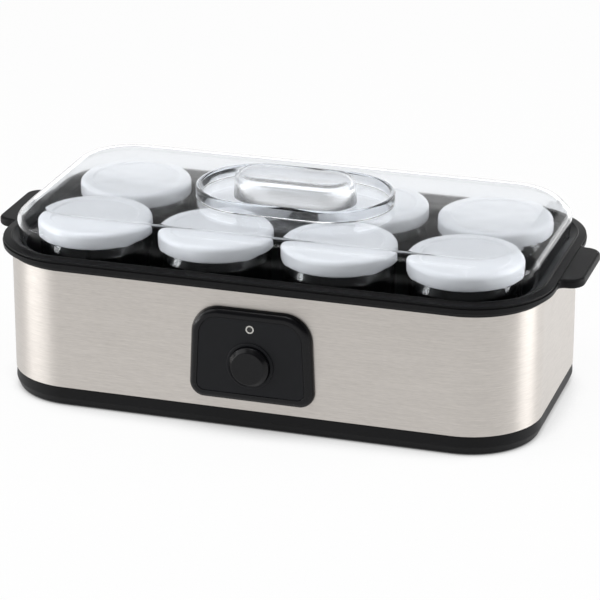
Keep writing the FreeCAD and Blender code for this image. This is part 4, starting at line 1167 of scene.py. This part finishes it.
@dataclass
class Studio:
    """White floor and surround, lamps and camera.

    The strips stay below the cover's top, and light the steel without a mirror image in the cover.

    Attributes:
        eye: Place of the camera.
        aim: Point that it faces.
        lens: Its focal length, in millimetres.
        sensor: Width of its sensor, in millimetres.
        shift: Shift of its frame to the side and up.
        nearest: Distance from which it sees.
        sky_edge: Heights between which the surround turns dim.
        sky_low: Strength of the low surround in reflections.
        sky_high: Strength of the high surround in reflections and behind clear pieces.
        sky_light: Strength of the surround as a light.
        floor_half: Half width of the floor.
        floor_colour: Colour of the floor.
        floor_white: Share of the floor's look that is plain white.
        shadow_reach: Distance over which the painted shadow darkens the floor's white glow.
        shadow_range: Openness at which the painted shadow is full and at which it ends.
        lamps: Lamps round the object.
    """

    eye: Point = (0.4909, -1.5703, 0.6966)
    aim: Point = (0.0, 0.0, 0.0746)
    lens: float = 178.6
    sensor: float = 36.0
    shift: tuple[float, float] = (0.0080, -0.0648)
    nearest: float = 0.05
    sky_edge: tuple[float, float] = (0.16, 0.26)
    sky_low: float = 0.85
    sky_high: float = 0.12
    sky_light: float = 0.32
    floor_half: float = 4.0
    floor_colour: Shade = (0.97, 0.97, 0.97, 1.0)
    floor_white: float = 0.94
    shadow_reach: float = 0.05
    shadow_range: tuple[float, float] = (0.05, 0.62)
    lamps: tuple[Softbox, ...] = (
        Softbox("overhead", (-0.1, -0.25, 1.25), (0.0, 0.0, 0.08), (0.6, 0.4), 4.2),
        Softbox("back_panel", (-0.45, 1.5, 0.385), (-0.45, 0.0, 0.385), (1.3, 0.57), 2.3),
        Softbox("left_strip", (-1.06, -0.56, 0.057), (0.0, 0.0, 0.057), (0.85, 0.11), 2.4),
        Softbox("right_strip", (1.17, 0.26, 0.057), (0.0, 0.0, 0.057), (0.6, 0.11), 2.6),
        Softbox("left_fill", (-0.85, -0.45, 0.9), (0.0, 0.0, 0.08), (0.8, 0.7), 3.0),
        Softbox("right_fill", (0.95, 0.21, 0.9), (0.0, 0.0, 0.08), (0.6, 0.7), 3.0),
        Softbox("left_slat", (-1.128, -0.41, 0.4), (0.0, 0.0, 0.1), (0.3, 0.44), 2.5),
        Softbox("right_slat", (1.141, 0.371, 0.4), (0.0, 0.0, 0.1), (0.3, 0.44), 2.5),
        Softbox("right_low", (0.75, 1.3, 0.13), (0.0, 0.1, 0.08), (1.2, 0.24), 2.2),
    )

    def build(self) -> None:
        """Add everything round the object."""
        self._surround()
        self._floor()
        for lamp in self.lamps:
            lamp.build()
        self._camera()

    @staticmethod
    def _level(w: Wiring, glossy: object, lighting: float, through: object = 1.0) -> Socket:
        """Return the background's strength for each kind of ray.

        Args:
            w: Wiring of the tree that needs it.
            glossy: Strength in reflections, a number or a socket.
            lighting: Strength as a light.
            through: Strength behind clear pieces and in their inner faces, likewise.

        Returns:
            1 where the bare background is seen, and the others elsewhere.
        """
        path = w.add("ShaderNodeLightPath").outputs
        direct = w.remap(path["Diffuse Depth"], 0.0, 1.0, 1.0, 0.0)
        shiny = w.math("MULTIPLY", path["Is Glossy Ray"], direct)
        clear = w.math("MULTIPLY", path["Is Transmission Ray"], direct)
        unseen = w.remap(shiny, 0.0, 1.0, lighting, glossy)
        unseen = w.remap(clear, 0.0, 1.0, unseen, through)
        return w.remap(path["Is Camera Ray"], 0.0, 1.0, unseen, 1.0)

    def _surround(self) -> None:
        """Make the world white where it shows and softer where it lights."""
        world = bpy.data.worlds.new("surround")
        w = emptied(world)
        way = w.add("ShaderNodeTexCoord").outputs["Generated"]
        height = w.add("ShaderNodeSeparateXYZ", {0: way}).outputs["Z"]
        ceiling = w.remap(height, *self.sky_edge, self.sky_low, self.sky_high)
        behind = w.remap(height, *self.sky_edge, 1.0, self.sky_high)
        strength = self._level(w, ceiling, self.sky_light, behind)
        sky = w.add("ShaderNodeBackground", {"Color": WHITE, "Strength": strength})
        w.add("ShaderNodeOutputWorld", {"Surface": sky.outputs[0]})
        bpy.context.scene.world = world

    def _floor(self) -> None:
        """Lay the pale floor, with a painted shadow: ambient occlusion darkens its white glow near
        the object, beside the small real shadow in its matt share.
        """
        made = bpy.data.materials.new("pale_floor")
        w = emptied(made)
        matt = w.add("ShaderNodeBsdfDiffuse", {"Color": self.floor_colour})
        # Painted shadow: ambient occlusion darkens the floor's white glow near the object
        shaded = w.add("ShaderNodeAmbientOcclusion", {"Distance": self.shadow_reach})
        shade = w.remap(shaded.outputs["AO"], *self.shadow_range, 0.0, 1.0)
        seen = self._level(w, 1.0, 0.0)
        strength = w.math("MULTIPLY", shade, seen)
        white = w.add("ShaderNodeEmission", {"Color": WHITE, "Strength": strength})
        both = w.add("ShaderNodeMixShader", {
            0: w.math("MULTIPLY", seen, self.floor_white),
            1: matt.outputs[0],
            2: white.outputs[0],
        })
        w.add("ShaderNodeOutputMaterial", {"Surface": both.outputs[0]})
        half = self.floor_half
        corners = [(-half, -half, 0), (half, -half, 0), (half, half, 0), (-half, half, 0)]
        mesh = bpy.data.meshes.new("floor")
        mesh.from_pydata(corners, [], [(0, 1, 2, 3)])
        mesh.materials.append(made)
        added("floor", mesh)

    def _camera(self) -> None:
        """Set up the camera at the photograph's viewing angle."""
        data = bpy.data.cameras.new("camera")
        data.lens = self.lens
        data.sensor_width = self.sensor
        data.shift_x, data.shift_y = self.shift
        data.clip_start = self.nearest
        made = added("camera", data)
        made.location = self.eye
        made.rotation_euler = facing(self.eye, self.aim)
        bpy.context.scene.camera = made


def main() -> None:
    """Build every sub-assembly in order."""
    logging.basicConfig(level=logging.INFO, format="%(name)s: %(message)s")
    bpy.context.scene.view_settings.view_transform = "Standard"
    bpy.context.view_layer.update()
    shop = Workshop(Finishes(), RingStack())
    for assembly in (Housing(), PushButton(), JarSet(), Cover()):
        assembly.build(shop)
    Studio().build()


if __name__ == "__main__":
    main()
